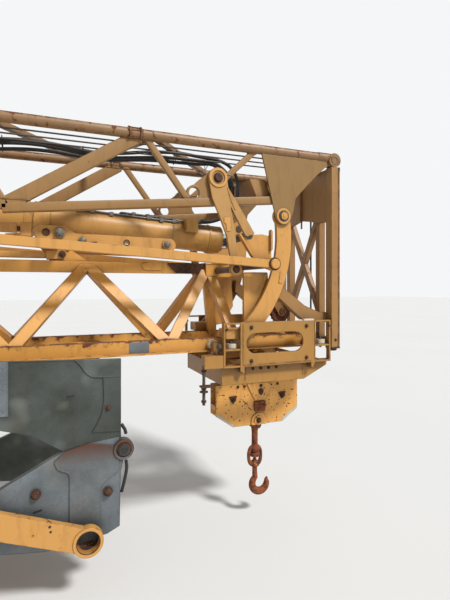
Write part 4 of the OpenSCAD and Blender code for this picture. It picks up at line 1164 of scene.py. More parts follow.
@dataclass
class FoldingCylinder:
    """Gland, bands, pipes and fittings of the cylinder, and the bolts of the plates beside it."""

    front: Spot = (700.0, 1975.0)
    rear: Spot = (2560.0, 2102.0)
    barrel_r: float = 93.0
    plate_y: float = 260.0

    def axis(self, b: float, y: float = 0.0, rise: float = 0.0) -> Vector:
        """A point beside or above the cylinder's axis, b behind the head, in metres."""
        return crane(b, y, self.axis_z(b) + rise)

    def axis_z(self, b: float) -> float:
        """Height of the cylinder's axis, b behind the head."""
        (b0, z0), (b1, z1) = self.front, self.rear
        return z0 + (z1 - z0) * (b - b0) / (b1 - b0)

    def collars(self) -> None:
        """Gland ring, weld bands and their screws round the barrel."""
        along = (crane(self.front[0], 0, self.front[1]) - crane(self.rear[0], 0, self.rear[1])).normalized()
        bands, screws = Shape(), Shape()
        bands.ring(self.axis(862), along, 97, 49, 12, 64)
        gland = [(49, 0), (92, 0), (92, 82), (86, 88), (49, 88)]
        bands.turned(gland, self.axis(850), along, 64, True)
        for b in (1120, 2010, 2440):
            bands.ring(self.axis(b), along, self.barrel_r + 3, self.barrel_r - 2, 9, 64)
        for y, rise in around(8, 72, 0.5):
            screws.turned([(8, 0), (9, 1), (9, 9), (7, 10)], self.axis(764, y, rise), along, 6)
        pieces("mast", {"cylinder_bands": (bands, CYLINDER), "cylinder_gland_screws": (screws, BOLT_ZINC)})

    def pipes(self) -> None:
        """Two steel pipes on top of the barrel, with nuts and saddles."""
        pipe, nuts = Shape(), Shape()
        for y, start in ((-66, 1700), (-40, 1440)):
            rise = math.sqrt(self.barrel_r**2 - y**2) + 13
            z = self.axis_z(start) + rise
            path = [crane(start + 26, y * 0.8, z - 26), crane(start + 12, y, z - 4)]
            path += [self.axis(b, y, rise) for b in range(start, 1060, -40)]
            path.append(crane(1036, y, 2090))
            pipe.tube(smooth(path, 3), 7, 10)
            for b in (start - 60, 1290, 1120):
                nuts.turned([(11, 0), (13, 2), (13, 24), (11, 26)], self.axis(b, y, rise), X, 6)
            for b in (start - 200, 1180):
                z = self.axis_z(b) + rise
                nuts.box((b, b + 24), (y - 14, y + 14), (z - 14, z + 10))
        pieces("mast", {"cylinder_pipes": (pipe, PIN_STEEL), "cylinder_pipe_nuts": (nuts, BOLT_ZINC)})

    def plate_bolts(self) -> None:
        """Bolts and washers of the long plates beside the barrel, and the clevis behind them."""
        zinc, dark, paint = Shape(), Shape(), Shape()
        for s in SIDES:
            for b, z, d, y in ((1823, 1954, 24, 272), (1208, 1908, 19, 272), (1701, 1913, 19, 266)):
                zinc.bolt(*on(s, (b, z), y), d)
            dark.ring(*on(s, (1894, 1954), self.plate_y), 21, 14, 3)
            dark.ring(*on(s, (1450, 1912), self.plate_y), 19, 14, 2)
            paint.lay([(2024, 1926), (2024, 2000), (1968, 2004), (1968, 1930)], s, 240, 28)
            paint.lay([(2130, 1946), (2130, 1992), (2040, 1998), (2040, 1944)], s, 240, 28)
            dark.tube(trace(((2046, 1968), (2016, 1967)), s * 254), 13, 12)
            dark.tube([crane(1660, s * 262, 1899), crane(1640, s * 282, 1903), crane(1622, s * 284, 1903)], 6, 8)
        pieces("mast", {
            "plate_bolts": (zinc, BOLT_ZINC),
            "plate_pins": (dark, PLATE_RUST),
            "plate_clevises": (paint, YELLOW),
        })

    def build(self) -> None:
        """All fittings of the cylinder."""
        self.collars()
        self.pipes()
        self.plate_bolts()


@dataclass
class Hoses:
    """Three hydraulic hoses under the top lacing, tied, looping down to the cylinder's port block."""

    rear: float = 6190.0
    front: float = 1100.0
    lanes: tuple[float, ...] = (-170.0, -140.0, -110.0)
    top_z: float = 2500.7
    r: float = 11.0
    steps: int = 64
    ties: tuple[float, ...] = (5400.0, 4550.0, 3700.0, 2900.0, 2120.0, 1690.0, 1120.0, 900.0)
    tie_loop: tuple[Spot, ...] = (
        (-186, 12), (-178, 18), (-102, -2), (-94, -14), (-94, -48), (-104, -53), (-176, -26), (-186, -14)
    )

    def drop(self, b: float) -> float:
        """How far the bundle hangs, b behind the head; its ends are held up."""
        near = min(1.0, (self.rear - b) / 500, max(0.0, b - self.front) / 500)
        return near * (20 + 15 * (1 - math.cos(2 * math.pi * (b - self.front) / 850)))

    def path(self, i: int, y: float) -> list[Vector]:
        """Way of one hose from the mast's foot to the port block.

        Args:
            i: The hose's number, from the near side.
            y: Its distance to the far side.

        Returns:
            Points in metres.
        """
        lean = -30 if i == 0 else 0
        points = []
        for k in range(self.steps + 1):
            b = self.rear + (self.front - self.rear) * k / self.steps
            # Between lacing bars the bundle hangs a little.
            sag = self.drop(b) + 17 * i + 6 * math.sin(b / 230 + 2 * i)
            points.append(crane(b, y + 6 * math.sin(b / 170 + i), self.top_z - sag))
        bend = (
            (960, lean * 0.3, self.top_z - 8 - 14 * i),
            (850, lean, self.top_z - 22 - 4 * i),
            (770 + 4 * i, lean * 1.6, 2440 - 10 * i),
            (722 + 4 * i, lean * 1.6, 2370 - 8 * i),
            (712 + 4 * i, lean * 1.4, 2280),
            (724 + 4 * i, lean, 2190),
            (776, 20, 2122),
            (850, 52, 2094),
            (930, 60, 2088),
            (955, 60, 2087),
        )
        return points + [crane(b, y + shift, z) for b, shift, z in bend]

    def build(self) -> None:
        """Hoses, their end fittings and the ties."""
        hose, nuts, ties = Shape(), Shape(), Shape()
        for i, y in enumerate(self.lanes):
            hose.tube(smooth(self.path(i, y), 4), self.r, 12)
            nuts.turned([(13, 0), (15, 2), (15, 22), (13, 24)], crane(940, y + 60, 2087), -X, 6)
            nuts.turned([(12, 0), (14, 2), (14, 30), (12, 34)], crane(self.rear - 4, y, self.top_z), -X, 6)
        for b in self.ties:
            z = self.top_z - self.drop(b) - (14 if b < self.front else 0)
            ties.tube([crane(b, y, z + h) for y, h in self.tie_loop], 2.6, 6, closed=True)
        made = hose.piece("hydraulic_hoses", "mast", RUBBER, 60)
        pieces("mast", {"hydraulic_hose_nuts": (nuts, BOLT_ZINC), "hydraulic_hose_ties": (ties, RUBBER)})
        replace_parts(made, "hoses")


@dataclass
class Jib:
    """Welds, patch and root plates of the folded jib, and its pendant bar."""

    half: float = 228.0
    low_z: float = 1245.0
    top_z: float = 1325.0
    node_b: float = 1182.0
    bay: float = 900.0
    bays: int = 5
    apex_share: float = 0.525
    foot_half: float = 37.0

    def feet(self) -> None:
        """Weld beads at both ends of each diagonal."""
        shape = Shape()
        nodes = [(730.0, 855.0), (self.node_b, 855.0)]
        for i in range(self.bays):
            b = self.node_b + i * self.bay
            nodes += [(b, b + self.apex_share * self.bay), (b + self.bay, b + self.apex_share * self.bay)]
        for s in SIDES:
            y0, y1 = s * (self.half - 24), s * (self.half + 24)
            # The rearmost diagonal has no bead at its foot.
            for b, top in nodes[:-1]:
                b0 = b + (top - b) * 42 / 450 - self.foot_half
                b1 = b0 + 2 * self.foot_half
                shape.bead([crane(x, y, self.top_z + 2) for x, y in ((b0, y0), (b1, y0), (b1, y1), (b0, y1))])
        shape.piece("jib_welds", "mast", JIB)

    def root(self) -> None:
        """Rusted root gusset on the near face of the apex chord, tabs, and a plate on the chord's side."""
        rust, paint, patch = Shape(), Shape(), Shape()
        gusset = [(1140, 1809), (1140, 1798), (1080, 1742), (884, 1742), (884, 1809)]
        tab = rounded([(1320, 1800), (1250, 1815), (1180, 1812), (1180, 1760), (1300, 1760)], 10, 3)
        z0, z1 = self.low_z + 8, self.low_z + 74
        primer = rounded([(1436, z0), (1436, z1), (1316, z1), (1316, z0)], 6, 2)
        for s in SIDES:
            rust.lay(gusset, s, 30, 12)
            paint.lay(tab, s, 30, 6)
            paint.seam(((876, 1808), (800, 1808), (720, 1808)), s * 63)
            paint.bead([crane(882, s * y, 1811) for y in (6, 30, 60)], closed=False)
            patch.lay(primer, s, 257.5, 1.2)
        # Peeled top of the apex chord.
        for b in range(1000, 5200, 420):
            rust.box((b, b + 300), (-27, 26), (1809.5, 1811.5))
        pieces("mast", {
            "jib_root_plates": (rust, PLATE_RUST),
            "jib_root_tabs": (paint, JIB),
            "jib_primer_patches": (patch, ZINC),
        })

    def pendant(self) -> None:
        """Flat pendant bar laid back along the apex chord, pinned to the upright plate and to a lug."""
        bar, pins = Shape(), Shape()
        for y in (-16, 16):
            bar.bar(*trace(((1800, 1850), (1890, 1844)), y), 12, 56, Y, 4)
            bar.bar(*trace(((2870, 1846), (2950, 1850)), y), 12, 50, Y, 4)
        bar.bar(*trace(((1880, 1844), (2885, 1846)), 0), 24, 40, Y, 5)
        bar.plate([(2990, 1808), (2960, 1872), (2900, 1872), (2870, 1808)], -8, 8)
        for spot in ((1800, 1850), (2930, 1850)):
            pins.tube([crane(spot[0], y, spot[1]) for y in (-34, 34)], 21.4, 24)
            for s in SIDES:
                pins.bolt(*on(s, spot, 23), 16)
        pieces("mast", {"jib_pendant": (bar, YELLOW), "jib_pendant_pins": (pins, PLATE_RUST)})

    def build(self) -> None:
        """All fittings of the jib."""
        self.feet()
        self.root()
        self.pendant()


@dataclass
class Trolley:
    """Fastenings, weld seams, pads and the hanging stop rod of the trolley."""

    side_y: float = 400.0
    frame_y: float = 350.0
    axle_y: float = 339.0
    rod_b: float = 1005.0
    rod_y: float = -368.0
    turns: int = 58
    pitch: float = 3.7

    def fastenings(self) -> None:
        """Bolts of the side plates, roller nuts and wheel axle ends."""
        rust, zinc, paint, pads = Shape(), Shape(), Shape(), Shape()
        pad = rounded([(318, 1428), (318, 1440), (240, 1440), (240, 1428)], 5, 3)
        for s in SIDES:
            for spot in ((700, 1396), (298, 1394), (700, 1186), (298, 1186)):
                rust.bolt(*on(s, spot, self.side_y), 11)
            for b in (123, 868):
                rust.bolt(*on(s, (b, 1390), 399.5), 9)
            # Painted shade: dark bolt heads along the top of the frame wall stand for the dark slots there.
            for b in (666, 610, 553, 496):
                rust.bolt(*on(s, (b, 1128), self.frame_y), 9)
            for b in (811, 149):
                for z, axis in ((1295.3, Z), (1255, -Z)):
                    zinc.bolt(crane(b, s * self.axle_y, z), axis, 13)
            for b, y in ((915, 392), (215, 372)):
                zinc.bolt(*on(s, (b, 1285.3), y), 15)
            pads.lay(pad, s, 383, 18)
            paint.seam([(b, 1163) for b in (752, 640, 520, 400, 262)], s * 399)
            for b in (757, 232):
                paint.seam([(b, z) for z in (1165, 1250, 1340, 1420)], s * self.side_y, 3.5)
            for b in (720, 297):
                paint.seam([(b, z) for z in (1062, 1100, 1138)], s * self.frame_y, 3.5)
            for b, tip in ((757, 10), (253, -2)):
                rib = [(b + 7, 1152), (b + 7, 1128), (b + 3, 1114), (b - tip, 1112), (b - 9, 1126), (b - 9, 1152)]
                paint.lay(rib, s, 352, 49)
        pieces("trolley", {
            "trolley_bolts": (rust, PLATE_RUST),
            "trolley_axle_nuts": (zinc, PIN_STEEL),
            "trolley_welds": (paint, TROLLEY),
            "trolley_pads": (pads, NYLON),
        })

    def stop_rod(self) -> None:
        """Threaded rod that hangs from the buffer box, with nuts and a stop plate."""
        rod, nuts = Shape(), Shape()
        b, y = self.rod_b, self.rod_y
        rod.tube(trace(((b, 1170), (b, 932)), y), 9, 12)
        for k in range(self.turns):
            rod.turned([(9, 0), (10.4, 0.9), (9, 1.8)], crane(b, y, 1150 - k * self.pitch), Z, 12)
        for z in (1133, 1026, 948):
            nuts.turned([(14, 0), (16, 1), (16, 13), (14, 14)], crane(b, y, z), Z, 6)
        nuts.disc(crane(b, y, 1010), Z, 26, 8, 2, 24)
        nuts.box((1026, 940), (y - 24, y + 24), (1040, 1050))
        pieces("trolley", {"trolley_stop_rods": (rod, PIN_STEEL), "trolley_stop_nuts": (nuts, PLATE_RUST)})

    def build(self) -> None:
        """All fittings of the trolley."""
        self.fastenings()
        self.stop_rod()


@dataclass
class HookBlock:
    """Lug plates, keepers, rope socket and worn edges on the cheeks of the hook block."""

    middle: float = 482.0
    cheek_y: float = 56.0
    pin_z: float = 700.0
    axle_z: float = 865.0
    axles: Span = (287.5, 676.5)
    lug_thick: float = 8.0
    scratches: tuple[tuple[float, float, float, float], ...] = (
        (760, 905, 22, 6), (735, 830, 16, -9), (600, 850, 40, 34),
        (560, 800, 26, 22), (240, 800, 20, 8), (215, 900, 26, 3),
    )

    def plates(self) -> None:
        """Raised plates on each cheek."""
        paint, rust, worn, forged = Shape(), Shape(), Shape(), Shape()
        y, raised = self.cheek_y, self.cheek_y + self.lug_thick
        key = [(484, 916), (472, 928), (455, 928), (442, 916), (444, 896), (456, 878), (470, 878), (482, 896)]
        for s in SIDES:
            paint.lay(rounded([(575, 966), (360, 966), (430, 842), (508, 842)], 9, 3), s, y, self.lug_thick)
            # The lower lug is a disc cut off level with the cheeks' lower edge.
            paint.lay(circle(477, 692, 62, -22, 202, 28), s, y, 7)
            paint.ring(*on(s, (self.middle, self.pin_z), y + 7), 34, 17, 4)
            rust.bolt(*on(s, (self.middle, self.pin_z), 67), 17)
            forged.lay(rounded([(517, 836), (428, 836), (432, 764), (513, 764)], 8, 3), s, y, 13)
            forged.lay(rounded([(520, 812), (425, 812), (425, 796), (520, 796)], 4, 2), s, raised, 9)
            # Keyhole in the lug: thin dark plates stand for its opening, as painted shade.
            rust.lay(circle(463, 946, 13, steps=20), s, raised, 0.8)
            rust.lay(rounded(key, 6, 3), s, raised, 1)
            for b in self.axles:
                keeper = [(b + 34, 886), (b - 30, 888), (b - 4, 838), (b + 6, 836)]
                rust.lay(rounded(keeper, 7, 3), s, y, 6)
                rust.bolt(*on(s, (b, self.axle_z), 66), 15)
            worn.lay([(285.5, 671), (161, 756), (161, 778), (200, 752), (292, 690)], s, y, 0.9)
            worn.lay([(803, 757), (678.5, 671), (668, 684), (700, 700), (803, 778)], s, y, 0.9)
            for b in (640, 590, 380, 325):
                rust.bolt(*on(s, (b, 948), y), 9)
            for b, z, run, lean in self.scratches:
                mark = [(b, z), (b - run, z - lean), (b - run + 2, z - lean - 5), (b + 2, z - 6)]
                rust.lay(mark, s, y, 0.7)
        # Strips that close the block's ends between its cheeks.
        for b in (160.5, 803.5):
            paint.box((b - 4, b + 4), (-46, 46), (790, 830))
        pieces("hook_block", {
            "block_lugs": (paint, BLOCK),
            "block_rope_anchors": (forged, HOOK_STEEL),
            "block_keepers_and_keyhole_shade": (rust, PLATE_RUST),
            "block_worn_edges": (worn, WORN_PAINT),
        })

    def crosshead(self) -> None:
        """Forged crosshead on its pin, with the shank and the nut that carries the swivel link."""
        shape = Shape()
        b0 = self.middle
        shape.tube([crane(b0, y, self.pin_z) for y in (-68, 68)], 16, 24)
        body = rounded([(518, 716), (446, 716), (446, 652), (456, 632), (508, 632), (518, 652)], 12, 4)
        shape.plate(body, -36, 36)
        # The middle of each face stands 4 mm proud, about 5 mm in from its edge.
        raised = [(b0 + (b - b0) * 0.875, z + (5 if z < 680 else -5)) for b, z in body]
        shape.plate(raised, -40, 40)
        shank = [(30, 640), (25, 626), (22.5, 600), (22.5, 520), (24, 500), (24, 456), (35, 455), (36, 452)]
        shape.turned(shank + [(36, 428), (33, 425)], crane(b0, 0, 0), Z, 32)
        made = shape.piece("block_crosshead_forged", "hook_block", HOOK_STEEL, 50)
        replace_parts(made, "block_crosshead")

    def build(self) -> None:
        """All fittings of the hook block."""
        self.plates()
        self.crosshead()


@dataclass
class Hook:
    """Forged swivel link and the tapered hook under it."""

    middle: float = 482.0
    bowl: Spot = (443.5, 224.0)
    bowl_r: float = 57.0
    bowl_turn: Span = (128.0, 378.0)
    bowl_steps: int = 36
    link_half: Span = (48.0, 62.0)
    link_z: float = 428.0
    link_steps: int = 56

    def link(self) -> None:
        """Closed link of forged bar, with a collar for the shank above and an eye below."""
        shape = Shape()
        path, radii = [], []
        w, h = self.link_half
        # Blunter than an ellipse, and thicker where the shank and the hook bear on it.
        for c, d in around(self.link_steps, 1.0):
            x = w * math.copysign(abs(c) ** 0.72, c)
            z = h * math.copysign(abs(d) ** 0.8, d)
            path.append(crane(self.middle + x, 0, self.link_z + z))
            radii.append(12.5 + 6.5 * abs(d) ** 3)
        shape.tube(path, 13, 16, closed=True, radii=radii)
        collar = [(27, 0), (34, 4), (36, 14), (34, 28), (28, 36)]
        shape.turned(collar, crane(self.middle, 0, 462), Z, 32)
        shape.turned([(22, 0), (31, 4), (31, 20), (24, 26)], crane(self.middle, 0, 352), Z, 28)
        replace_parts(shape.piece("swivel_link_forged", "hook", HOOK_STEEL, 70), "swivel_link")

    def hook(self) -> None:
        """Neck, bowl and tip as one tapered bar."""
        shape = Shape()
        b, z = self.bowl
        first, last = self.bowl_turn
        points = [crane(self.middle, 0, v) for v in (372, 356, 340, 322, 306)]
        radii = [19.0, 19.5, 18.0, 17.5, 18.5]
        for k in range(self.bowl_steps + 1):
            t = k / self.bowl_steps
            a = math.radians(first + (last - first) * k / self.bowl_steps)
            r = self.bowl_r + 2 * math.sin(a / 2) ** 2
            points.append(crane(b - r * math.cos(a), 0, z + r * math.sin(a)))
            swell = math.sin(math.pi * min(1.0, t / 0.94)) ** 0.8
            radii.append(19.5 + 8 * swell if t < 0.9 else 22.5 - 9 * (t - 0.9) / 0.1)
        points.append(crane(b - 60, 0, z + 34))
        radii.append(7.0)
        shape.tube(points, 20, 20, radii=radii)
        shape.turned([(17, 0), (25, 2), (25, 16), (18, 20)], crane(self.middle, 0, 376), Z, 6)
        shape.turned([(13, 0), (13, 12), (9, 14)], crane(self.middle, 0, 396), Z, 16)
        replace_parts(shape.piece("hook_forged", "hook", HOOK_STEEL, 70), "hook")

    def build(self) -> None:
        """Link and hook."""
        self.link()
        self.hook()


@dataclass
class Base:
    """Fittings of the base: bracket overlays, bolts, jack threads, ring gear, lifting loops and steps."""

    sheet_y: float = 477.0
    bracket_y: float = 475.0
    strip_y: float = 452.0
    boss: Spot = (1506.0, 773.0)
    eye: Spot = (1697.0, 347.0)
    bore: float = 56.2
    arm_y: Span = (481.0, 560.3)
    jack_b: Span = (2700.0, 6350.0)
    jack_y: float = 830.0
    thread_r: float = 34.0
    thread_turns: int = 13
    ring_b: float = 4600.0
    ring_r: float = 421.0
    beam_y: float = 520.0

    def sheet(self) -> None:
        """Lapped edge, flap, strips, rivets and the dented slot, its opening in painted shade, on each galvanised
        sheet.
        """
        shape, dark, rust, pale = Shape(), Shape(), Shape(), Shape()
        y = self.sheet_y
        lap = [(1626, 1266), (1612, 1177), (1608, 1060), (1614, 1000), (1624, 962), (1647, 915), (1668, 881)]
        flap = [(1758, 1270), (1733, 1246), (1708, 1208), (1683, 1185), (1647, 1173), (1520, 1168)]
        lip = ((2338, 1287), (2068, 1279), (1760, 1269), (1520, 1261))
        for s in SIDES:
            shape.lay(lap + [(1520, 872), (1520, 1262)], s, y, 5)
            shape.tube(smooth(trace(lap, s * (y + 3)), 4), 4.2, 8)
            shape.lay(flap + [(1520, 1262)], s, y + 4, 3.5)
            shape.tube(smooth(trace(flap, s * (y + 5.5)), 4), 2.6, 8)
            # Pale angle screwed on near the sheet's rear edge.
            pale.lay(rounded([(2112, 1010), (2112, 1282), (2072, 1281), (2072, 1010)], 4, 2), s, y, 4)
            pale.lay([(2074, 1010), (2074, 1281), (2070, 1281), (2070, 1010)], s, y, 6)
            for z in (1040, 1145, 1250):
                pale.disc(*on(s, (2094, z), y + 4), 6, 2, 1, 12)
            rust.bolt(*on(s, (1588, 1004), y + 5), 13)
            # Painted shade: a thin dark plate stands for the slot's opening.
            dark.lay(rounded([(1800, 1086), (1800, 1074), (1758, 1078), (1758, 1090)], 5, 3), s, y, 0.8)
            shape.lay(rounded([(1798, 1072), (1798, 1066), (1764, 1069), (1764, 1075)], 3, 2), s, y, 2.5)
            for b in (2290, 2180, 2010, 1900, 1790):
                shape.disc(*on(s, (b, 1245), y), 6, 2.5, 1, 12)
            shape.tube(trace(lip, s * (y - 1)), 4, 8)
        pieces("base", {
            "sheet_laps": (shape, SHEET),
            "sheet_angles": (pale, ZINC),
            "sheet_slot_shade": (dark, RUBBER),
            "sheet_bolts": (rust, PLATE_RUST),
        })

    def bracket(self) -> None:
        """Overlay plate, bolts, boss ring, stained edge and the rubber strip of each bracket."""
        zinc, rust, dark, face = Shape(), Shape(), Shape(), Shape()
        y = self.bracket_y
        front = [(2247, 353), (2247, 593), (2108, 649), (1811, 800), (1690, 825), (1530, 840), (1510, 717)]
        front += [(1524, 650), (1529, 362), (1592, 332), (1900, 303)]
        lip = [(1856, 752), (1842, 716), (1818, 700), (1794, 690), (1783, 676), (1781, 650), (1781, 312)]
        lip.append((1631, 321))
        overlay = lip + [(1631, 556), (1624, 592), (1606, 612), (1579, 632), (1530, 662), (1530, 742)]
        overlay += [(1560, 800), (1690, 826), (1810, 800)]
        for s in SIDES:
            face.lay(front, s, y - 1, 3.5)
            zinc.lay(overlay, s, y, 9)
            zinc.tube(trace(lip, s * (y + 6)), 4.5, 8)
            zinc.ring(*on(s, self.boss, y + 12), 54, 41, 6)
            rust.ring(*on(s, self.boss, y + 12), 41, 31, 3)
            zinc.ring(*on(s, self.boss, y + 12), 31, 26.5, 14)
            dark.disc(*on(s, self.boss, y + 30), 20, 1.5, 1, 24)
            for spot in ((1945, 604), (1589, 559)):
                rust.bolt(*on(s, spot, y + 10), 22)
            dark.lay(rounded([(1958, 516), (1958, 504), (1914, 512), (1914, 524)], 4, 2), s, y, 3)
            dark.tube(trace(((1512, 900), (1494, 870), (1488, 846)), s * self.strip_y), 9, 8)
            low = trace(((1488, 700), (1484, 660), (1494, 600), (1512, 530)), s * self.strip_y)
            dark.tube(smooth(low, 4), 9, 8)
        pieces("base", {
            "bracket_overlays": (zinc, STAINED_ZINC),
            "bracket_faces": (face, ZINC),
            "bracket_bolts": (rust, PLATE_RUST),
            "bracket_strips": (dark, RUBBER),
        })

    def arms(self) -> None:
        """Collars behind the eyes of the support arms, raised rims, small holes' plugs, and painted shade behind
        each eye.
        """
        rim, rust = Shape(), Shape()
        back, face = self.arm_y
        for s in SIDES:
            rim.ring(*on(s, self.eye, face), 76, 60, 5)
            # The eye's bore stays open over its whole length.
            rust.ring(*on(s, self.eye, back), 62, self.bore, 39, 48)
            rust.ring(*on(s, self.eye, face), 60, self.bore, 3, 48)
            # A dark disc on the bracket, 40 mm behind the arm, is painted shade seen through the open bore.
            rust.disc(*on(s, self.eye, self.bracket_y + 0.2), 57, 6, 2, 48)
            for b, z, r in ((1880, 465, 7), (1876, 439, 6), (1958, 437, 6)):
                rust.disc(*on(s, (b, z), face), r, 1.5, 0.8, 16)
            rust.bolt(*on(s, (2480, 650), face), 34)
        pieces("base", {"arm_rims": (rim, YELLOW), "arm_bushings_and_shade_discs": (rust, PLATE_RUST)})

    def jacks(self) -> None:
        """Threads, lock nuts, crank pins and pad bolts of the four screw jacks."""
        thread, paint = Shape(), Shape()
        for b in self.jack_b:
            for y in (s * self.jack_y for s in SIDES):
                path = []
                for k in range(12 * self.thread_turns):
                    a = 0.5236 * k
                    x, across = self.thread_r * math.cos(a), self.thread_r * math.sin(a)
                    path.append(crane(b + x, y + across, 28 + 10 * k / 12))
                thread.tube(path, 3.2, 6)
                thread.turned([(44, 0), (52, 3), (52, 24), (44, 27)], crane(b, y, 128), Z, 6)
                for x, across in around(6, 88):
                    thread.bolt(crane(b + x, y + across, 25), Z, 12)
                paint.turned([(57, 0), (60, 3), (60, 17), (57, 20)], crane(b, y, 320), Z, 32)
                thread.turned([(18, 0), (20, 2), (20, 28), (16, 30)], crane(b, y, 339), Z, 6)
                thread.tube([crane(b - 70, y, 356), crane(b + 70, y, 356)], 8, 10)
        pieces("base", {"jack_threads": (thread, PIN_STEEL), "jack_collars": (paint, YELLOW)})

    def ring(self) -> None:
        """Teeth and bolts of the slewing ring."""
        shape = Shape()
        tooth, bolt = [(7, 0), (9, 2), (9, 38), (7, 40)], [(9, 0), (9, 30), (6, 33)]
        for count, profile, z, sides in ((72, tooth, 704, 5), (24, bolt, 750, 6)):
            for x, y in around(count, self.ring_r):
                shape.turned(profile, crane(self.ring_b + x, y, z), Z, sides)
        shape.piece("slewing_ring_teeth", "base", PIN_STEEL)

    def chassis(self) -> None:
        """Cable tray, lamp brackets and step plates along the chassis beams."""
        zinc, dark = Shape(), Shape()
        y = self.beam_y
        for s in SIDES:
            for i in range(7):
                b = 2370 + i * 4130 / 6
                zinc.seam([(b, z) for z in (352, 520, 698)], s * (y + 1), 3)
            for b in (3000, 3900, 5300):
                zinc.lay(rounded([(b, 400), (b, 480), (b - 300, 480), (b - 300, 400)], 20, 4), s, y, 5)
                for x in (b - 24, b - 276):
                    for z in (420, 460):
                        dark.bolt(*on(s, (x, z), y + 5), 10)
            dark.tube(trace(((2500, 662), (6400, 662)), s * (y + 9)), 9, 10)
            for b in range(2600, 6400, 420):
                zinc.box((b, b + 18), (s * y, s * (y + 20)), (650, 674))
        pieces("base", {"chassis_plates": (zinc, ZINC), "chassis_cables": (dark, RUBBER)})

    def build(self) -> None:
        """All fittings of the base."""
        self.sheet()
        self.bracket()
        self.arms()
        self.jacks()
        self.ring()
        self.chassis()


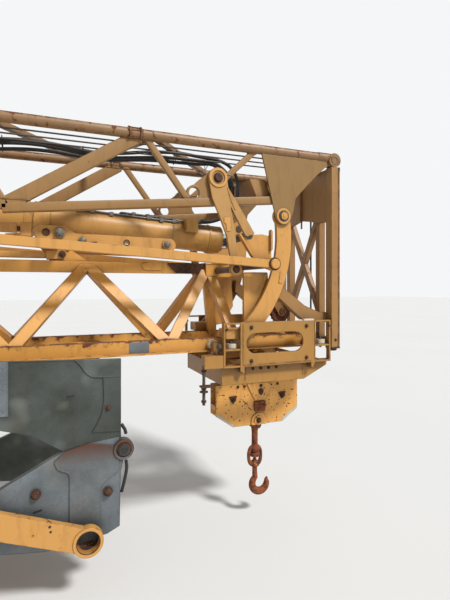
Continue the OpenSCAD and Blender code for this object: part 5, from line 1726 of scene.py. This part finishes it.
@dataclass
class Upperworks:
    """Fittings above the slewing ring: winch rope and motor, cabinet doors and vents, ballast loops."""

    winch_b: float = 4700.0
    winch_z: float = 1105.0
    rope_turns: int = 38
    rope_pitch: float = 10.4
    cabinet_b: Span = (6000.0, 6280.0)
    cabinet_y: float = 280.0
    cabinet_z: Span = (980.3, 1700.0)
    ballast_b: Span = (6640.0, 7320.0)
    ballast_y: float = 950.0
    ballast_z: Span = (980.0, 1900.0)
    slabs: int = 4
    felt_proud: float = 1.2
    post: Spot = (6300.0, 2080.0)

    def winch(self) -> None:
        """Rope laid on the drum, with its motor, gearbox and end bolts."""
        rope, motor, bolts = Shape(), Shape(), Shape()
        b, z = self.winch_b, self.winch_z
        for k in range(self.rope_turns):
            y = -194 + k * self.rope_pitch
            rope.tube([crane(b + x, y, z + up) for x, up in around(36, 85)], 5.2, 8, closed=True)
        housing = [(60, 0), (86, 4), (86, 60), (64, 70), (62, 210), (50, 222)]
        motor.turned(housing, crane(b, 236, z), Y, 40)
        for k in range(8):
            motor.turned([(63, 0), (69, 2), (69, 7), (63, 9)], crane(b, 318 + k * 14, z), Y, 40)
        for s in SIDES:
            for x, up in around(8, 98):
                bolts.bolt(*on(s, (b + x, z + up), 215), 9)
            for x in (80, -80):
                bolts.bolt(*on(s, (b + x, 1005), 235), 12)
        pieces("base", {
            "winch_rope": (rope, WIRE),
            "winch_motor": (motor, CYLINDER),
            "winch_bolts": (bolts, BOLT_ZINC),
        })

    def cabinet(self) -> None:
        """Doors, gaskets, hinges, handles, louvres, cap and feet of the control cabinet."""
        skin, dark = Shape(), Shape()
        z0, z1 = self.cabinet_z
        b0, b1 = self.cabinet_b
        for y0, y1 in ((-268, -4), (4, 268)):
            skin.box((b0 - 16, b0), (y0, y1), (z0 + 30, z1 - 20))
            dark.box((b0 - 3, b0), (y0 - 3, y1 + 3), (z0 + 27, z1 - 17))
            for i in range(9):
                z = z0 + 90 + i * 14
                skin.plate([(b0 - 16, z), (b0 - 22, z - 5), (b0 - 16, z - 8)], y0 + 60, y1 - 60)
            hinge_y = y0 if y0 < 0 else y1
            for z in (z0 + 120, z1 - 120):
                dark.tube(trace(((b0 - 12, z - 30), (b0 - 12, z + 30)), hinge_y), 7, 10)
        for y in (-22, 22):
            dark.box((b0 - 28, b0 - 16), (y - 9, y + 9), (1330, 1450))
        y = self.cabinet_y
        panel = [(b1 - 24, z0 + 36), (b1 - 24, z1 - 30), (b0 + 24, z1 - 30), (b0 + 24, z0 + 36)]
        for s in SIDES:
            skin.lay(rounded(panel, 14, 4), s, y, 9)
            for i in range(10):
                z = z1 - 120 - i * 16
                skin.lay([(b1 - 70, z), (b1 - 70, z - 7), (b0 + 70, z - 7), (b0 + 70, z)], s, y + 9, 6)
            for b in (b0 + 40, b1 - 40):
                for z in (z0 + 60, z1 - 52):
                    dark.disc(*on(s, (b, z), y + 9), 7, 3, 1, 16)
        skin.box((b0 - 26, b1 + 14), (-294, 294), (z1, z1 + 16))
        for b in (b0 + 60, b1 - 60):
            for y in (-180, -60, 60, 180):
                dark.turned([(14, 0), (17, 2), (17, 16), (13, 20)], crane(b, y, z1 + 15), Z, 6)
        pieces("base", {"cabinet_doors": (skin, POWDER), "cabinet_fittings": (dark, RUBBER)})

    def ballast(self) -> None:
        """Lifting loops, tie rods, form marks and the felt between the slabs."""
        steel, dimples, joints = Shape(), Shape(), Shape()
        b0, b1 = self.ballast_b
        z0, z1 = self.ballast_z
        slab = (z1 - z0) / self.slabs
        half = ((60, -2), (58, 40), (30, 62))
        loop = [(-y, z) for y, z in half] + list(reversed(half))
        for b in (b0 + 150, b1 - 150):
            for y in (-650, 650):
                steel.tube(smooth([crane(b, y + across, z1 + up) for across, up in loop], 5), 9, 12)
            for y in (-820, 820):
                steel.tube([crane(b, y, z0), crane(b, y, z1 + 50)], 12, 12)
                steel.box((b - 50, b + 50), (y - 50, y + 50), (z1, z1 + 14))
                steel.turned([(22, 0), (24, 2), (24, 20), (20, 22)], crane(b, y, z1 + 14), Z, 6)
        for i in range(self.slabs):
            z = z0 + (i + 0.5) * slab
            for b in (b0 + 120, b1 - 120):
                for s in SIDES:
                    dimples.ring(*on(s, (b, z), self.ballast_y), 24, 14, 3)
            for y in (-600, 0, 600):
                dimples.ring(crane(b1, y, z), -X, 24, 14, 3)
        y = self.ballast_y + self.felt_proud
        for i in range(1, self.slabs):
            # Bitumen felt laid between the slabs shows as a dark line.
            z = z0 + i * slab
            joints.box((b0 - self.felt_proud, b1 + self.felt_proud), (-y, y), (z - 3, z + 3))
        pieces("base", {
            "ballast_felt": (joints, RUBBER),
            "ballast_fittings": (steel, PLATE_RUST),
            "ballast_form_marks": (dimples, CONCRETE),
        })

    def posts(self) -> None:
        """Hinge caps, foot welds and platform edge bolts."""
        caps, welds = Shape(), Shape()
        for s in SIDES:
            caps.disc(*on(s, self.post, 460.3), 50, 8, 3, 40)
            caps.bolt(*on(s, self.post, 468.3), 24)
            welds.seam([(b, 983) for b in (6618, 6450, 6200, 5982)], s * 461, 5)
            welds.seam([(b, 985) for b in (7240, 6700, 6100, 5600)], s * 421, 5)
            for b in range(3100, 5900, 350):
                caps.bolt(*on(s, (b, 940), 420), 12)
        pieces("base", {"post_caps": (caps, PIN_STEEL), "platform_welds": (welds, YELLOW)})

    def build(self) -> None:
        """All fittings above the slewing ring."""
        self.winch()
        self.cabinet()
        self.ballast()
        self.posts()


@dataclass
class Studio:
    """Pale floor, soft light and the photograph's viewpoint."""

    eye: tuple[float, float, float] = (1.744, -2.948, 1.65)
    look: tuple[float, float, float] = (0.380, 0.925, 0.0)
    lens: float = 27.06
    shift_y: float = -0.0217
    sun: tuple[float, float, float] = (-0.42, 0.80, -0.95)
    sun_energy: float = 3.1
    sun_angle: float = 9.0
    floor_half: float = 60.0
    light_on_object: float = 0.42
    light_in_view: float = 0.95

    def build(self) -> None:
        """Camera, floor, sky and lamp."""
        scene = bpy.context.scene
        camera = bpy.data.objects.new("camera", bpy.data.cameras.new("camera"))
        camera.data.lens = self.lens
        camera.data.sensor_width = 36.0
        camera.data.shift_y = self.shift_y
        camera.data.clip_end = 200.0
        camera.location = self.eye
        lamp = bpy.data.objects.new("sun", bpy.data.lights.new("sun", "SUN"))
        lamp.data.energy = self.sun_energy
        lamp.data.angle = math.radians(self.sun_angle)
        for made, aim in ((camera, self.look), (lamp, self.sun)):
            made.rotation_mode = "QUATERNION"
            made.rotation_quaternion = Vector(aim).to_track_quat("-Z", "Y")
            scene.collection.objects.link(made)
        scene.camera = camera
        scene.view_settings.view_transform = "Standard"
        self.floor()
        self.sky()

    def floor(self) -> None:
        """A pale floor that keeps the object's shadow."""
        data = bpy.data.meshes.new("floor")
        r = self.floor_half
        data.from_pydata([(-r, -r, 0), (r, -r, 0), (r, r, 0), (-r, r, 0)], [], [(0, 1, 2, 3)])
        floor = bpy.data.objects.new("floor", data)
        bpy.context.scene.collection.objects.link(floor)
        paint = bpy.data.materials.new("floor_paint_matt")
        paint.use_nodes = True
        tree = paint.node_tree
        tree.nodes.clear()
        at = add(tree, "TexCoord")
        limits = {"Scale": per_mm(2500), "Detail": 2.0}
        cloud = add(tree, "TexNoise", limits, {"Vector": at.outputs["Object"]})
        tone = add(tree, "Mix:RGBA", {6: linear("#DEDEDC"), 7: linear("#E4E4E2")}, {0: cloud})
        shader = add(tree, "BsdfPrincipled", {"Roughness": 0.9}, {"Base Color": tone.outputs[2]})
        add(tree, "OutputMaterial", links={"Surface": shader})
        data.materials.append(paint)

    def sky(self) -> None:
        """Even light from all round; the backdrop is paler than the light on the object."""
        world = bpy.data.worlds.new("studio")
        world.use_nodes = True
        tree = world.node_tree
        tree.nodes.clear()
        path = add(tree, "LightPath")
        rays = [path.outputs[f"Is {kind} Ray"] for kind in ("Camera", "Glossy", "Transmission")]
        seen = add(tree, "Math:MAXIMUM", links={0: rays[0], 1: rays[1]})
        shown = add(tree, "Math:MAXIMUM", links={0: seen, 1: rays[2]})
        limits = {"To Min": self.light_on_object, "To Max": self.light_in_view}
        strength = add(tree, "MapRange", limits, {"Value": shown})
        glow = add(tree, "Background", {"Color": linear("#FBFCFD")}, {"Strength": strength})
        add(tree, "OutputWorld", links={"Surface": glow})
        bpy.context.scene.world = world


def dress_frame() -> None:
    """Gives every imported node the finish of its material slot, with a few of its own."""
    own = {
        TROLLEY: ("trolley_side_near", "trolley_side_far", "trolley_frame"),
        POST_PAINT: ("head_frame",),
        GUSSET_PAINT: ("gussets",),
        LINK_PAINT: ("links",),
        MAST_PAINT: ("mast_foot",),
        CYLINDER: ("cylinder_barrel",),
        JIB: ("jib_apex", "jib_side_near", "jib_side_far", "jib_lacing"),
        SHEAVE_STEEL: ("head_sheaves", "trolley_sheaves", "block_sheaves"),
        PLATE_RUST: ("block_crosshead",),
        SHEET: ("front_brackets",),
        BLOCK: ("block_cheeks",),
        HOOK_STEEL: ("hook", "swivel_link"),
    }
    finish_of = {node: finish for finish, nodes in own.items() for node in nodes}
    for row in frame["record"]["subparts"]:
        finish = finish_of.get(row["node"], FINISH_OF_SLOT[Slot(row["material_slot"])])
        node = frame["nodes"][row["node"]]
        node.data.materials.clear()
        node.data.materials.append(finish.material())
        LOG.info("%s: %s", row["node"], finish.name)


def main() -> None:
    """Builds the crane's looks in order."""
    logging.basicConfig(level=logging.INFO, format="%(name)s %(message)s")
    Studio().build()
    dress_frame()
    head_end = (Mast, HeadFrame, Linkage, FoldingCylinder, Hoses, Jib, Trolley, HookBlock, Hook)
    for part in (*head_end, Base, Upperworks):
        LOG.info("building %s", part.__name__)
        part().build()


if __name__ == "__main__":
    main()
